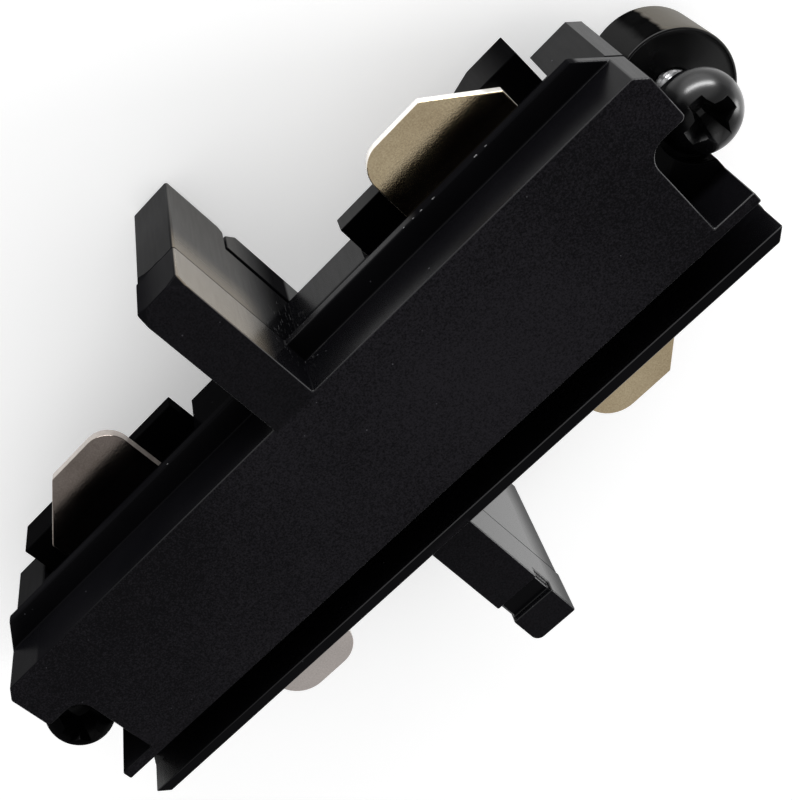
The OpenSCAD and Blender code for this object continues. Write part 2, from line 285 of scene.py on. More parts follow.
    def coat_like_base(self) -> None:
        """Gives the gloss layer the same bumps as the base."""
        self.drive("Coat Normal", self.shader.inputs["Normal"].links[0].from_socket)

    def bump(self, height: Socket, relief: Relief) -> None:
        """Adds a bump on top of the ones already there.

        Args:
            height: The height socket, from 0 to 1.
            relief: The bump's measures.
        """
        node = self.add("Bump", {"Strength": relief.strength, "Distance": relief.depth, "Height": height})
        for below in self.shader.inputs["Normal"].links:
            self.feed(node.inputs["Normal"], below.from_socket)
        self.drive("Normal", node.outputs[0])


# The uneven textures, and the shares of them that give the darker and the lighter patches

PATCHES = (0.3, 0.7)
MOTTLE = (0.35, 0.65)
GRAIN_STOPS = (0.4, 0.6)
PLASTIC_CLOUDS = Grain(110.0, 5.0)
PLASTIC_SHEEN = Grain(420.0, 4.0)
MOULD_FLOW = Grain(300.0, 2.0, (0.4, 1.0, 1.0))
FACE_GRAIN = Grain(9200.0, rough=0.6)
FACE_CLOUDS = Grain(70.0)
DRAW_MARKS = Grain(4200.0, stretch=(1.0, 1.0, 0.08))
SCRATCHES = Grain(9000.0, stretch=(1.0, 1.0, 0.12), rough=0.6)
SEAM_WAVE = Grain(700.0, 2.0, (1.0, 1.0, 0.0))
TORN_GRAIN = Grain(9000.0)
SHEET_GRAIN = Grain(9500.0, rough=0.6)
SHEET_CLOUDS = Grain(260.0, 4.0)
SHEAR_MARKS = Grain(2600.0, stretch=(1.0, 1.0, 0.3))
BLACKING = Grain(500.0, 5.0)
STEEL_SHEEN = Grain(900.0)
THREAD_WEAR = Grain(2600.0)
TURNING_WAVE = Grain(3000.0, 2.0)
FLOOR_CLOUDS = Grain(20.0)

# How deep the surfaces' small forms are

FLOW_RELIEF = Relief(0.25, 3e-5)
GRAIN_RELIEF = Relief(0.8, 3e-5)
DRAW_RELIEF = Relief(0.12, 1e-5)
TOOL_RELIEF = Relief(0.15, 2e-5)
TORN_RELIEF = Relief(0.6, 2e-5)
SHEET_DEPTH = 6e-6
TURNING_DEPTH = 5e-6

# Places on the mouldings, in metres

GRAIN_LOW = 0.0174
GRAIN_STEP = 5e-5
GROOVE_Y = -0.0047
GROOVE_STEP = 5e-4
ARM_HALF = 0.00168
ARM_STEP = 2e-4
ARM_START = Fade(0.0064, 0.0068)
PARTING_Z = 0.01326
PARTING_STEP = 5e-5

# The grained front with its painted sheen in the middle, the painted highlight on the rounded edges, and the dust

FACES_UP = Fade(0.75, 0.97)
ARM_GRAIN = 0.45
FINE_SHARE = 0.72
CLOUD_SHARE = 0.28
# Painted sheen: the grain's colour is lighter in the middle of the joiner and darker toward its ends
PAINTED_SHEEN_FROM = Fade(-0.014, -0.002)
PAINTED_SHEEN_TO = Fade(0.014, 0.026, 1.0, 0.2)
PAINTED_SHEEN_MEAN = 0.6
PAINTED_SHEEN_SHARE = 0.09
# Painted highlight on the rounded edges: its colour and its share
EDGE_PAINTED_HIGHLIGHT = (0.06, 0.06, 0.062)
EDGE_PAINTED_HIGHLIGHT_SHARE = 0.6
DUST_CELLS = 1500.0
DUST_SIZE = Fade(0.03, 0.1, 1.0, 0.0)
DUST_STRENGTH = 0.8
DUST_TONE = (0.09, 0.09, 0.1)

# The walls' gloss: along and across the joiner in metres, and by tilt

WALL_TILT = Fade(0.5, 0.95, 1.0, 0.0)
MIDDLE_BAND = (-0.008, 0.004)
RIGHT_SIDE = Fade(-0.008, -0.004, 1.0, 0.0)
RISE_AT_ARMS = Fade(-0.003, 0.003, 0.02, 1.3)
FALL_TO_END = Fade(0.008, 0.014, 1.0, 0.52)
CHAMFER_TURN = Band(0.35, 0.85, 0.05)
CHAMFER_FROM = Fade(0.0215, 0.022)
CHAMFER_GAIN = Fade(0.0, 1.0, 1.0, 2.1)
FAR_PATCH = Band(-0.0262, -0.0236, 4e-4)
FAR_PATCH_GLOSS = 0.2
RIGHT_END = Fade(-0.0172, -0.0142, 0.4, 1.25)
DULL_LENGTH = 0.003
DULL_GLOSS = 0.1
STREAKS = Fade(0.25, 0.75, 0.9, 1.0)
LEFT_HALF = Fade(0.0, 0.001)
TURNED_AWAY = Fade(-0.98, -0.85, 0.4, 0.0)
FACE_GLOSS = 0.08
LEAST_GLOSS = 0.02

# The rounded edges around the front faces, which take the gloss and the painted highlight

EDGE_TILT = Band(0.25, 0.8, 0.04)
EDGE_HEIGHT = Fade(0.0174, 0.0178)
FLANGE_FOOT = Band(0.0045, 0.0069)
FOOT_DULLING = 0.55
EDGE_RISE = Fade(-0.0243, -0.002)
EDGE_STOP = Fade(0.016, 0.0166, 1.0, 0.0)

# The left arm's gloss

ARM_REAR_WALL = Fade(0.002, 0.0125, 0.42, 0.55)
ARM_REACH = Fade(0.0075, 0.0125, 0.02, 1.0)
ARM_REAR_TIP = Fade(0.004, 0.012, 0.2, 0.16)
ARM_FRONT_TIP = Fade(-0.0016, 0.001, 0.02, 0.1)
ARM_TILT = Fade(0.35, 0.55, 1.0, 0.12)
FACES_AHEAD = Fade(0.5, 0.9)

# The sheltered walls under the flanges and the flange's edge over the blades

UNDER_HEIGHT = Band(0.0090, 0.0132, 5e-4)
UNDER_LENGTH = Fade(0.0212, 0.0216, 1.0, 0.0)
UNDER_WIDTH = Fade(0.0074, 0.0079, 1.0, 0.0)
FLANGE_EDGE = Fade(0.0080, 0.0083)
FLANGE_HEIGHT = Band(0.0131, 0.01402)
OVER_BLADE = Fade(0.0120, 0.0128)
SHELTER = 0.93

# The scuffs beside the left arm, and the painted warm reflection on its right wall

SCUFF_WALL = Fade(0.2, 0.5, 1.0, 0.0)
SCUFF_ALONG = Band(0.0014, 0.0022, 9e-4)
SCUFF_ACROSS = Band(0.0066, 0.0086, 2e-3)
SCUFF_HEIGHT = Band(0.008, 0.013, 4e-3)
SCRATCH_SHARE = Fade(0.6, 0.72)
SCRATCH_TONE = (0.05, 0.05, 0.052)
# Painted reflection on the left arm's right wall: where it lies, and its warm grey
PAINTED_REFLECTION_ACROSS = Fade(0.0095, 0.0125)
PAINTED_REFLECTION_HEIGHT = Fade(0.009, 0.0134, 0.1, 1.0)
PAINTED_REFLECTION_TONE = (0.11, 0.094, 0.072)

# The seam between the front and the rear mouldings, in metres

SEAM_TIP = Fade(0.0171, 0.0173)
SEAM_SWING = 0.0007
SEAM_DROP = 7e-5
SEAM_GAPE = Fade(-0.0021, -0.0002, 0.0009, 0.00001)
SEAM_HALF = 0.00014
SEAM_SOFT = Fade(0.0, 0.00007, 1.0, 0.0)
TOOL_LINE = Fade(0.00005, 0.0003, 1.0, 0.0)


@dataclass(frozen=True)
class MouldedPlastic:
    """Black injection-moulded plastic: grained on its front faces, polished with faint draw marks on its walls.

    Attributes:
        name: The finish's name.
        dark: Colour of the smooth faces' darker patches.
        light: Colour of their lighter patches.
        matt: Roughness, from and to.
        polish: Strength of the walls' gloss, on the right and on the left of the joiner.
        blur: Roughness of the walls' gloss.
        grain: Colours of the grain's hollows and tops, or None where no face is grained.
        dust: Share of the faces that dust specks may take; any share at all also adds the scratches and the painted
            reflection.
        ring: Centre and radius of a faint round tool mark, in metres, or None.
        dull_from: Distance along the joiner from which the walls' gloss dies away, in metres.
        edge_gloss_and_highlight: Gloss of the rounded edges, and the strength of the painted highlight that lightens
            their colour.
    """

    name: str
    dark: Colour
    light: Colour
    matt: Flat
    polish: Flat
    blur: float
    grain: tuple[Colour, Colour] | None = None
    dust: float = 0.0
    ring: Point | None = None
    dull_from: float = 1.0
    edge_gloss_and_highlight: float = 0.0

    def material(self) -> bpy.types.Material:
        """Builds the finish.

        Returns:
            The material.
        """
        sheet = NodeSheet(self.name)
        tone = sheet.grade(sheet.noise(PLASTIC_CLOUDS), PATCHES, self.dark, self.light)
        sheet.set(Coat_Roughness=self.blur, Coat_IOR=1.5, Specular_IOR_Level=0.0)
        sheet.drive("Roughness", sheet.ramp(sheet.noise(PLASTIC_SHEEN), Fade(*PATCHES, *self.matt)))
        sheet.bump(sheet.noise(MOULD_FLOW), FLOW_RELIEF)
        if self.grain:
            tone = self.grained(sheet, tone)
        if self.dust:
            tone = self.scuffs_and_painted_reflection(sheet, self.dusted(sheet, tone))
        if self.edge_gloss_and_highlight:
            # Painted highlight: the rounded edges' colour is lightened, fading out toward the minus-X end
            share = sheet.times(self.edges(sheet), EDGE_PAINTED_HIGHLIGHT_SHARE * self.edge_gloss_and_highlight)
            tone = sheet.blend(share, tone, EDGE_PAINTED_HIGHLIGHT)
        sheet.drive("Base Color", tone)
        sheet.drive("Coat Weight", self.polished(sheet))
        if self.ring:
            self.tool_mark(sheet)
        sheet.coat_like_base()
        return sheet.material

    def grained(self, sheet: NodeSheet, tone: Socket) -> Socket:
        """Grains the front faces, apart from the rim outside the groove, and paints a sheen on them that is lightest
        in the middle of the joiner.

        Args:
            sheet: The finish's node sheet.
            tone: The smooth faces' colour.

        Returns:
            The colour of all faces.
        """
        front = sheet.ramp(sheet.height, Fade(GRAIN_LOW - GRAIN_STEP, GRAIN_LOW))
        inside = sheet.ramp(sheet.across, Fade(GROOVE_Y - GROOVE_STEP, GROOVE_Y))
        on_arm = self.on_arm(sheet)
        grained = sheet.mix(on_arm, inside, sheet.times(on_arm, ARM_GRAIN))
        mask = sheet.times(front, sheet.ramp(sheet.face_z, FACES_UP), grained)
        fine = sheet.noise(FACE_GRAIN)
        uneven = sheet.plus(sheet.times(fine, FINE_SHARE), sheet.times(sheet.noise(FACE_CLOUDS), CLOUD_SHARE))
        # Painted sheen: lighter grain in the middle of the joiner, darkest toward the minus-X end
        middle = sheet.times(sheet.ramp(sheet.along, PAINTED_SHEEN_FROM), sheet.ramp(sheet.along, PAINTED_SHEEN_TO))
        uneven = sheet.plus(uneven, sheet.times(sheet.minus(middle, PAINTED_SHEEN_MEAN), PAINTED_SHEEN_SHARE))
        sheet.bump(sheet.times(fine, mask), GRAIN_RELIEF)
        return sheet.blend(mask, tone, sheet.grade(uneven, GRAIN_STOPS, *self.grain))

    def dusted(self, sheet: NodeSheet, tone: Socket) -> Socket:
        """Strews fine dust over the faces.

        Args:
            sheet: The finish's node sheet.
            tone: The clean colour.

        Returns:
            The dusty colour.
        """
        near, chance = sheet.cells(DUST_CELLS)
        chosen = sheet.ramp(chance, Fade(1.0 - self.dust, 1.0, 0.0, DUST_STRENGTH))
        return sheet.blend(sheet.times(sheet.ramp(near, DUST_SIZE), chosen), tone, DUST_TONE)

    @staticmethod
    def on_arm(sheet: NodeSheet) -> Socket:
        """Finds the arms: 1 on an arm, 0 elsewhere."""
        middle = sheet.ramp(sheet.size(sheet.along), Fade(ARM_HALF, ARM_HALF + ARM_STEP, 1.0, 0.0))
        return sheet.times(middle, sheet.ramp(sheet.size(sheet.across), ARM_START))

    def polished(self, sheet: NodeSheet) -> Socket:
        """Works out the gloss of the walls.

        Args:
            sheet: The finish's node sheet.

        Returns:
            The strength of the gloss.
        """
        wall = sheet.ramp(sheet.upright, WALL_TILT)
        draw_marks = sheet.noise(DRAW_MARKS)
        sheet.bump(sheet.times(draw_marks, wall), DRAW_RELIEF)
        on_left_arm = sheet.times(self.on_arm(sheet), sheet.ramp(sheet.across, LEFT_HALF))
        clear = sheet.minus(1.0, self.seam(sheet))
        place = sheet.mix(on_left_arm, self.body_gloss(sheet), self.arm_gloss(sheet))
        gloss = sheet.times(wall, sheet.ramp(draw_marks, STREAKS), clear, place)
        edges = sheet.times(self.edges(sheet), self.edge_gloss_and_highlight)
        away = [sheet.ramp(turned, TURNED_AWAY) for turned in (sheet.face_x, sheet.face_y)]
        low = sheet.mix(wall, FACE_GLOSS, sheet.largest(*away, LEAST_GLOSS))
        return sheet.reckon("MINIMUM", sheet.largest(gloss, edges, low), 1.0)

    def body_gloss(self, sheet: NodeSheet) -> Socket:
        """Works out the gloss of the walls apart from the left arm's.

        Args:
            sheet: The finish's node sheet.

        Returns:
            The strength of the gloss.
        """
        right, left = self.polish
        side = sheet.ramp(sheet.across, Fade(*MIDDLE_BAND, right, left))
        rise = sheet.times(sheet.ramp(sheet.along, RISE_AT_ARMS), sheet.ramp(sheet.along, FALL_TO_END))
        chamfer = sheet.times(sheet.within(sheet.face_x, CHAMFER_TURN), sheet.ramp(sheet.along, CHAMFER_FROM))
        rise = sheet.times(rise, sheet.ramp(chamfer, CHAMFER_GAIN))
        patch = sheet.times(sheet.within(sheet.along, FAR_PATCH), FAR_PATCH_GLOSS)
        right_end = sheet.ramp(sheet.across, RIGHT_END)
        end = sheet.mix(sheet.ramp(sheet.across, RIGHT_SIDE), sheet.plus(rise, patch), right_end)
        far = sheet.ramp(sheet.along, Fade(self.dull_from, self.dull_from + DULL_LENGTH, 1.0, DULL_GLOSS))
        return sheet.times(side, end, far, self.sheltered(sheet))

    @staticmethod
    def edges(sheet: NodeSheet) -> Socket:
        """Finds the rounded edges around the front faces.

        Args:
            sheet: The finish's node sheet.

        Returns:
            1 on an edge, 0 elsewhere.
        """
        front = sheet.times(sheet.within(sheet.upright, EDGE_TILT), sheet.ramp(sheet.height, EDGE_HEIGHT))
        foot = sheet.minus(1.0, sheet.times(sheet.within(sheet.across, FLANGE_FOOT), FOOT_DULLING))
        return sheet.times(front, foot, sheet.ramp(sheet.along, EDGE_RISE), sheet.ramp(sheet.across, EDGE_STOP))

    @staticmethod
    def arm_gloss(sheet: NodeSheet) -> Socket:
        """Works out the gloss of the left arm, which is brightest on the front half of its right wall.

        Args:
            sheet: The finish's node sheet.

        Returns:
            The strength of the gloss.
        """
        front_half = sheet.ramp(sheet.height, Fade(PARTING_Z - PARTING_STEP, PARTING_Z + PARTING_STEP))
        depth = sheet.mix(front_half, sheet.ramp(sheet.height, ARM_REAR_WALL), 1.0)
        wall = sheet.times(depth, sheet.ramp(sheet.across, ARM_REACH))
        tip = sheet.mix(front_half, sheet.ramp(sheet.height, ARM_REAR_TIP), sheet.ramp(sheet.along, ARM_FRONT_TIP))
        either = sheet.mix(sheet.ramp(sheet.face_x, FACES_AHEAD), tip, wall)
        return sheet.times(sheet.ramp(sheet.upright, ARM_TILT), either)

    @staticmethod
    def sheltered(sheet: NodeSheet) -> Socket:
        """Dulls the walls under the flanges and the left flange's edge over the blades.

        Args:
            sheet: The finish's node sheet.

        Returns:
            1 where the gloss stays.
        """
        far, wide = sheet.size(sheet.along), sheet.size(sheet.across)
        under = sheet.times(sheet.within(sheet.height, UNDER_HEIGHT), sheet.ramp(far, UNDER_LENGTH),
                            sheet.ramp(wide, UNDER_WIDTH))
        over_blade = sheet.times(sheet.ramp(sheet.across, FLANGE_EDGE), sheet.within(sheet.height, FLANGE_HEIGHT),
                                 sheet.ramp(far, OVER_BLADE))
        return sheet.minus(1.0, sheet.times(sheet.largest(under, over_blade), SHELTER))

    @staticmethod
    def scuffs_and_painted_reflection(sheet: NodeSheet, tone: Socket) -> Socket:
        """Scratches the corner between the left arm and the flange, and paints a warm reflection on the arm's right
        wall.

        Args:
            sheet: The finish's node sheet.
            tone: The clean colour.

        Returns:
            The scuffed colour.
        """
        corner = sheet.times(sheet.within(sheet.along, SCUFF_ALONG), sheet.within(sheet.across, SCUFF_ACROSS),
                             sheet.within(sheet.height, SCUFF_HEIGHT), sheet.ramp(sheet.upright, SCUFF_WALL))
        scratch = sheet.ramp(sheet.noise(SCRATCHES), SCRATCH_SHARE)
        marked = sheet.blend(sheet.times(corner, scratch), tone, SCRATCH_TONE)
        # Painted reflection: the left arm's right wall is lightened to a warm grey, most toward its front and its
        # outer end
        painted_reflection = sheet.times(MouldedPlastic.on_arm(sheet), sheet.ramp(sheet.face_x, FACES_AHEAD),
                             sheet.ramp(sheet.across, PAINTED_REFLECTION_ACROSS), sheet.ramp(sheet.height, PAINTED_REFLECTION_HEIGHT))
        clear = sheet.minus(1.0, MouldedPlastic.seam(sheet))
        return sheet.blend(sheet.times(painted_reflection, clear), marked, PAINTED_REFLECTION_TONE)

    @staticmethod
    def seam(sheet: NodeSheet) -> Socket:
        """Finds the dull line where the two mouldings meet, which gapes at the left arm's tip.

        Args:
            sheet: The finish's node sheet.

        Returns:
            1 in the line, 0 outside it.
        """
        tip = sheet.ramp(sheet.across, SEAM_TIP)
        wave = sheet.times(sheet.minus(sheet.noise(SEAM_WAVE), 0.5), SEAM_SWING)
        height = sheet.minus(sheet.height, PARTING_Z - SEAM_DROP)
        off = sheet.size(sheet.plus(height, sheet.times(wave, tip)))
        reach = sheet.plus(sheet.times(sheet.ramp(sheet.along, SEAM_GAPE), tip), SEAM_HALF)
        return sheet.ramp(sheet.minus(off, reach), SEAM_SOFT)

    def tool_mark(self, sheet: NodeSheet) -> None:
        """Presses the faint round tool mark into the front.

        Args:
            sheet: The finish's node sheet.
        """
        x, y, reach = self.ring
        off = sheet.size(sheet.minus(sheet.radius((x, y)), reach))
        sheet.bump(sheet.ramp(off, TOOL_LINE), TOOL_RELIEF)


@dataclass(frozen=True)
class FlashGlintPlastic:
    """Light grey plastic for the flash nibs: a painted glint where they catch the light.

    Attributes:
        name: The finish's name.
        dark: Colour of the darker patches.
        light: Colour of the lighter patches.
    """

    name: str
    dark: Colour
    light: Colour

    def material(self) -> bpy.types.Material:
        """Builds the finish.

        Returns:
            The material.
        """
        sheet = NodeSheet(self.name)
        rough = sheet.noise(TORN_GRAIN)
        sheet.drive("Base Color", sheet.grade(rough, MOTTLE, self.dark, self.light))
        sheet.set(Roughness=0.4, Specular_IOR_Level=0.4)
        sheet.bump(rough, TORN_RELIEF)
        return sheet.material


# The sheet metal: its fine grain and clouds, and its cut edges

MOTTLE_FINE = 0.55
MOTTLE_CLOUD = 0.45
CUT_TILT = Fade(0.2, 0.75, 1.0, 0.0)
CUT_TORN = Fade(0.3, 0.7, 0.75, 1.0)
CUT_DULLING = 0.55
BOW_SCALE = 100.0


@dataclass(frozen=True)
class StampedSheet:
    """Rolled and plated sheet metal, cut by a stamping tool.

    Attributes:
        name: The finish's name.
        dark: Colour of the darker patches.
        light: Colour of the lighter patches.
        roughness: Roughness, from and to.
        shear: Colour of the cut edge.
        grain: Strength of the fine grain's bump.
        bow: Slope of the sheet's slight bow across the joiner.
    """

    name: str
    dark: Colour
    light: Colour
    roughness: Flat
    shear: Colour
    grain: float = 0.5
    bow: float = 0.0

    def material(self) -> bpy.types.Material:
        """Builds the finish.

        Returns:
            The material.
        """
        sheet = NodeSheet(self.name)
        fine = sheet.noise(SHEET_GRAIN)
        mottle = sheet.plus(sheet.times(fine, MOTTLE_FINE), sheet.times(sheet.noise(SHEET_CLOUDS), MOTTLE_CLOUD))
        tone = sheet.grade(mottle, MOTTLE, self.dark, self.light)
        cut = sheet.ramp(sheet.upright, CUT_TILT)
        torn = sheet.ramp(sheet.noise(SHEAR_MARKS), CUT_TORN)
        sheet.drive("Base Color", sheet.blend(sheet.times(cut, torn), tone, self.shear))
        sheet.drive("Roughness", sheet.ramp(mottle, Fade(*MOTTLE, *self.roughness)))
        sheet.drive("Metallic", sheet.minus(1.0, sheet.times(cut, CUT_DULLING)))
        if self.bow:
            sheet.bump(sheet.times(sheet.across, -BOW_SCALE), Relief(1.0, self.bow / BOW_SCALE))
        sheet.bump(fine, Relief(self.grain, SHEET_DEPTH))
        return sheet.material


# The blackened steel: highlights on a domed head, a worn thread, and the oily film and painted warm sheen on a disc

HEAD_LEFT = ((0.26, 0.72, 0.64), Fade(0.84, 0.95, 0.25, 1.0))
HEAD_RIGHT = ((0.82, -0.26, 0.51), Fade(0.88, 0.97, 0.25, 0.85))
HEAD_TURN = Fade(-0.35, 0.2, 0.3, 1.0)
WEAR_STEP = 0.0002
WEAR_SHARE = Fade(0.35, 0.6, 0.15, 1.0)
TURNING_SHARE = 0.3
DISC_WALL = Fade(0.3, 0.9, 1.0, 0.0)
FILM_WOBBLE = 0.12
THICK_FILM = (0.45, 0.52)
THIN_FILM = (0.06, 0.24)
THIN_SHARE = 0.4
FACE_SLANT = (-0.002, 0.004)
FACE_LEAST = 0.15
RIM_TILT = Band(0.25, 0.93, 0.04)
RIM_RADIUS = Fade(0.0036, 0.0037)
# Painted sheen on the disc's wall: its warm colour
DISC_PAINTED_SHEEN = (0.09, 0.075, 0.05)


@dataclass(frozen=True)
class TurnedSteel:
    """Blackened steel from a lathe, with its turning marks, and worn bright where a thread runs.

    Attributes:
        name: The finish's name.
        dark: Colour of the blackening.
        light: Colour of its lighter patches.
        roughness: Roughness, from and to.
        specular: Gloss of the blackening.
        marks: Turning marks to the metre, across the radius.
        mark_strength: Strength of their bump.
        oil: Strength of the oily film on a disc's walls and face, which also sets how strong the painted sheen on
            its wall is, or None.
        dome: Strength of the gloss on a domed head.
        worn_below: Height below which the thread is worn bright, in metres, or None.
        worn: Colour of the worn thread.
    """

    name: str
    dark: Colour
    light: Colour
    roughness: Flat
    specular: float
    marks: float = 6000.0
    mark_strength: float = 0.1
    oil: Flat | None = None
    dome: float = 0.0
    worn_below: float | None = None
    worn: Colour = (0.2, 0.2, 0.205)

    def material(self) -> bpy.types.Material:
        """Builds the finish.

        Returns:
            The material.
        """
        sheet = NodeSheet(self.name)
        tone = sheet.grade(sheet.noise(BLACKING), PATCHES, self.dark, self.light)
        sheet.set(Specular_IOR_Level=self.specular, Coat_Roughness=0.25)
        sheet.drive("Roughness", sheet.ramp(sheet.noise(STEEL_SHEEN), Fade(*PATCHES, *self.roughness)))
        if self.oil:
            tone = self.oiled_with_painted_sheen(sheet, tone)
        if self.dome:
            lit = [sheet.ramp(sheet.toward(direction), fade) for direction, fade in (HEAD_LEFT, HEAD_RIGHT)]
            film = sheet.times(sheet.largest(*lit), sheet.ramp(sheet.face_x, HEAD_TURN))
            sheet.drive("Coat Weight", sheet.times(film, self.dome))
        if self.worn_below is not None:
            low = sheet.ramp(sheet.height, Fade(self.worn_below - WEAR_STEP, self.worn_below, 1.0, 0.0))
            patchy = sheet.times(low, sheet.ramp(sheet.noise(THREAD_WEAR), WEAR_SHARE))
            tone = sheet.blend(patchy, tone, self.worn)
            sheet.drive("Metallic", patchy)
        sheet.drive("Base Color", tone)
        fine = sheet.reckon("SINE", sheet.times(sheet.radius(), self.marks * math.tau))
        uneven = sheet.plus(sheet.times(fine, TURNING_SHARE), sheet.noise(TURNING_WAVE))
        sheet.bump(uneven, Relief(self.mark_strength, TURNING_DEPTH))
        return sheet.material

    def oiled_with_painted_sheen(self, sheet: NodeSheet, tone: Socket) -> Socket:
        """Spreads an uneven oily film over a disc, with a dry band on its wall, and paints a warm sheen on the side
        of its wall that faces plus X.

        Args:
            sheet: The finish's node sheet.
            tone: The dry colour.

        Returns:
            The colour with the painted sheen.
        """
        on_wall, on_face = self.oil
        wall = sheet.ramp(sheet.upright, DISC_WALL)
        wobble = sheet.times(sheet.minus(sheet.noise(STEEL_SHEEN), 0.5), FILM_WOBBLE)
        turned_to = sheet.plus(sheet.face_x, wobble)
        thick = sheet.ramp(turned_to, Fade(*THICK_FILM, 0.0, on_wall))
        thin = sheet.ramp(turned_to, Fade(*THIN_FILM, THIN_SHARE * on_wall, 0.0))
        slant = sheet.minus(sheet.along, sheet.across)
        face = sheet.ramp(slant, Fade(*FACE_SLANT, FACE_LEAST * on_face, on_face))
        rim = sheet.times(sheet.within(sheet.face_z, RIM_TILT), sheet.ramp(sheet.radius(), RIM_RADIUS))
        film = sheet.mix(wall, face, sheet.plus(thick, thin))
        sheet.drive("Coat Weight", sheet.largest(film, rim))
        # Painted sheen: the wall's side that faces plus X is lightened to a warm tone where the film is thick
        return sheet.blend(sheet.times(wall, thick), tone, DISC_PAINTED_SHEEN)


COVER = MouldedPlastic("cover_plastic", (0.0018, 0.0018, 0.0023), (0.0036, 0.0035, 0.0042), matt=(0.34, 0.46),
                       polish=(0.95, 0.42), blur=0.24, grain=((0.003, 0.0028, 0.0036), (0.0128, 0.0119, 0.0145)),
                       dust=0.16, ring=(0.0224, 0.00449, 0.0028), edge_gloss_and_highlight=0.8)
BODY = MouldedPlastic("body_plastic", (0.001, 0.001, 0.0013), (0.0022, 0.0022, 0.0026), matt=(0.34, 0.46),
                      polish=(0.95, 0.42), blur=0.22, dust=0.2, edge_gloss_and_highlight=0.3)
HOLDER = MouldedPlastic("holder_plastic", (0.0005, 0.0005, 0.0007), (0.001, 0.001, 0.0012), matt=(0.4, 0.5),
                        polish=(0.5, 0.34), blur=0.3, dull_from=0.0194)
# Light grey flash nibs: painted glints
FLASH_GLINT = FlashGlintPlastic("flash_glint_plastic", (0.03, 0.03, 0.032), (0.22, 0.22, 0.23))
# The blades' nickel in copies: the warm tint of this copy on the plus-X blades and the rosy-grey tint of the pale
# copy are painted reflections of the surroundings; the near-white cut edges of these two are sheared metal, made
# near white as a painted highlight; the darker copy on the left minus-X blade is painted shade
WARM_NICKEL = StampedSheet("warm_nickel", (0.36, 0.28, 0.175), (0.53, 0.44, 0.29), roughness=(0.09, 0.14),
                           shear=(0.97, 0.95, 0.92), grain=0.9, bow=0.1)
PALE_NICKEL = StampedSheet("pale_nickel", (0.42, 0.385, 0.362), (0.53, 0.48, 0.455), roughness=(0.1, 0.16),
                           shear=(0.9, 0.88, 0.85))
SHADED_NICKEL = StampedSheet("shaded_nickel", (0.12, 0.1, 0.086), (0.2, 0.172, 0.155), roughness=(0.1, 0.16),
                           shear=(0.4, 0.36, 0.33), grain=0.8, bow=0.04)
BAR_BRASS = StampedSheet("bar_brass", (0.5, 0.34, 0.16), (0.66, 0.48, 0.25), roughness=(0.3, 0.42),
                         shear=(0.6, 0.42, 0.22), grain=0.3)
CLIP_STEEL = StampedSheet("clip_steel", (0.32, 0.32, 0.33), (0.48, 0.48, 0.5), roughness=(0.25, 0.35),
                          shear=(0.4, 0.4, 0.41), grain=0.3)
SCREW_BLACK = TurnedSteel("screw_black", (0.0012, 0.0012, 0.0014), (0.003, 0.003, 0.0034), roughness=(0.24, 0.32),
                          specular=0.12, dome=1.0, worn_below=0.0113, worn=(0.6, 0.6, 0.61))
# The minus-X end screw's copy of the finish: darker blackening and a darker worn thread as painted shade, with less
# gloss
SHADED_SCREW = TurnedSteel("shaded_screw", (0.0008, 0.0008, 0.001), (0.002, 0.002, 0.0022), roughness=(0.24, 0.32),
                         specular=0.0, dome=0.15, worn_below=0.0113)
PLAIN_SCREW = TurnedSteel("plain_screw", (0.004, 0.004, 0.0045), (0.009, 0.009, 0.0095), roughness=(0.25, 0.35),
                          specular=0.4, mark_strength=0.12)
DISC_BLACK = TurnedSteel("disc_black", (0.0012, 0.0012, 0.0013), (0.0034, 0.0034, 0.0034), roughness=(0.26, 0.34),
                         specular=0.0, marks=7500.0, oil=(0.42, 1.0))


class Finish(Enum):
    """The finishes of the connector's pieces."""

    COVER = COVER
    BODY = BODY
    HOLDER = HOLDER
    WARM_NICKEL = WARM_NICKEL
    PALE_NICKEL = PALE_NICKEL
    SHADED_NICKEL = SHADED_NICKEL
    FLASH_GLINT = FLASH_GLINT
    BRASS = BAR_BRASS
    CLIP = CLIP_STEEL
    SCREW = SCREW_BLACK
    SHADED_SCREW = SHADED_SCREW
    PLAIN_SCREW = PLAIN_SCREW
    DISC = DISC_BLACK


class Paintbox:
    """Builds each finish once and gives it to the pieces."""

    def __init__(self) -> None:
        """Starts with no finish built."""
        self.built: dict[Finish, bpy.types.Material] = {}

    def give(self, piece: bpy.types.Object, finish: Finish) -> None:
        """Puts a finish on a piece.

        Args:
            piece: The object.
            finish: Its finish.
        """
        if finish not in self.built:
            self.built[finish] = finish.value.material()
        piece.data.materials.clear()
        piece.data.materials.append(self.built[finish])


# Mesh work: nearness in millimetres, angles in degrees

ON_AXIS = 1e-6
SMOOTH_ANGLE = 32.0
EASED_ANGLE = 30.0


def added(name: str, data: bpy.types.ID) -> bpy.types.Object:
    """Adds an object to the scene.

    Args:
        name: The object's name.
        data: Its mesh, lamp or camera.

    Returns:
        The object.
    """
    thing = bpy.data.objects.new(name, data)
    bpy.context.scene.collection.objects.link(thing)
    return thing


def spun(point: Flat, angle: float) -> Flat:
    """Turns a point around the origin by an angle in radians."""
    x, y = point
    return x * math.cos(angle) - y * math.sin(angle), x * math.sin(angle) + y * math.cos(angle)


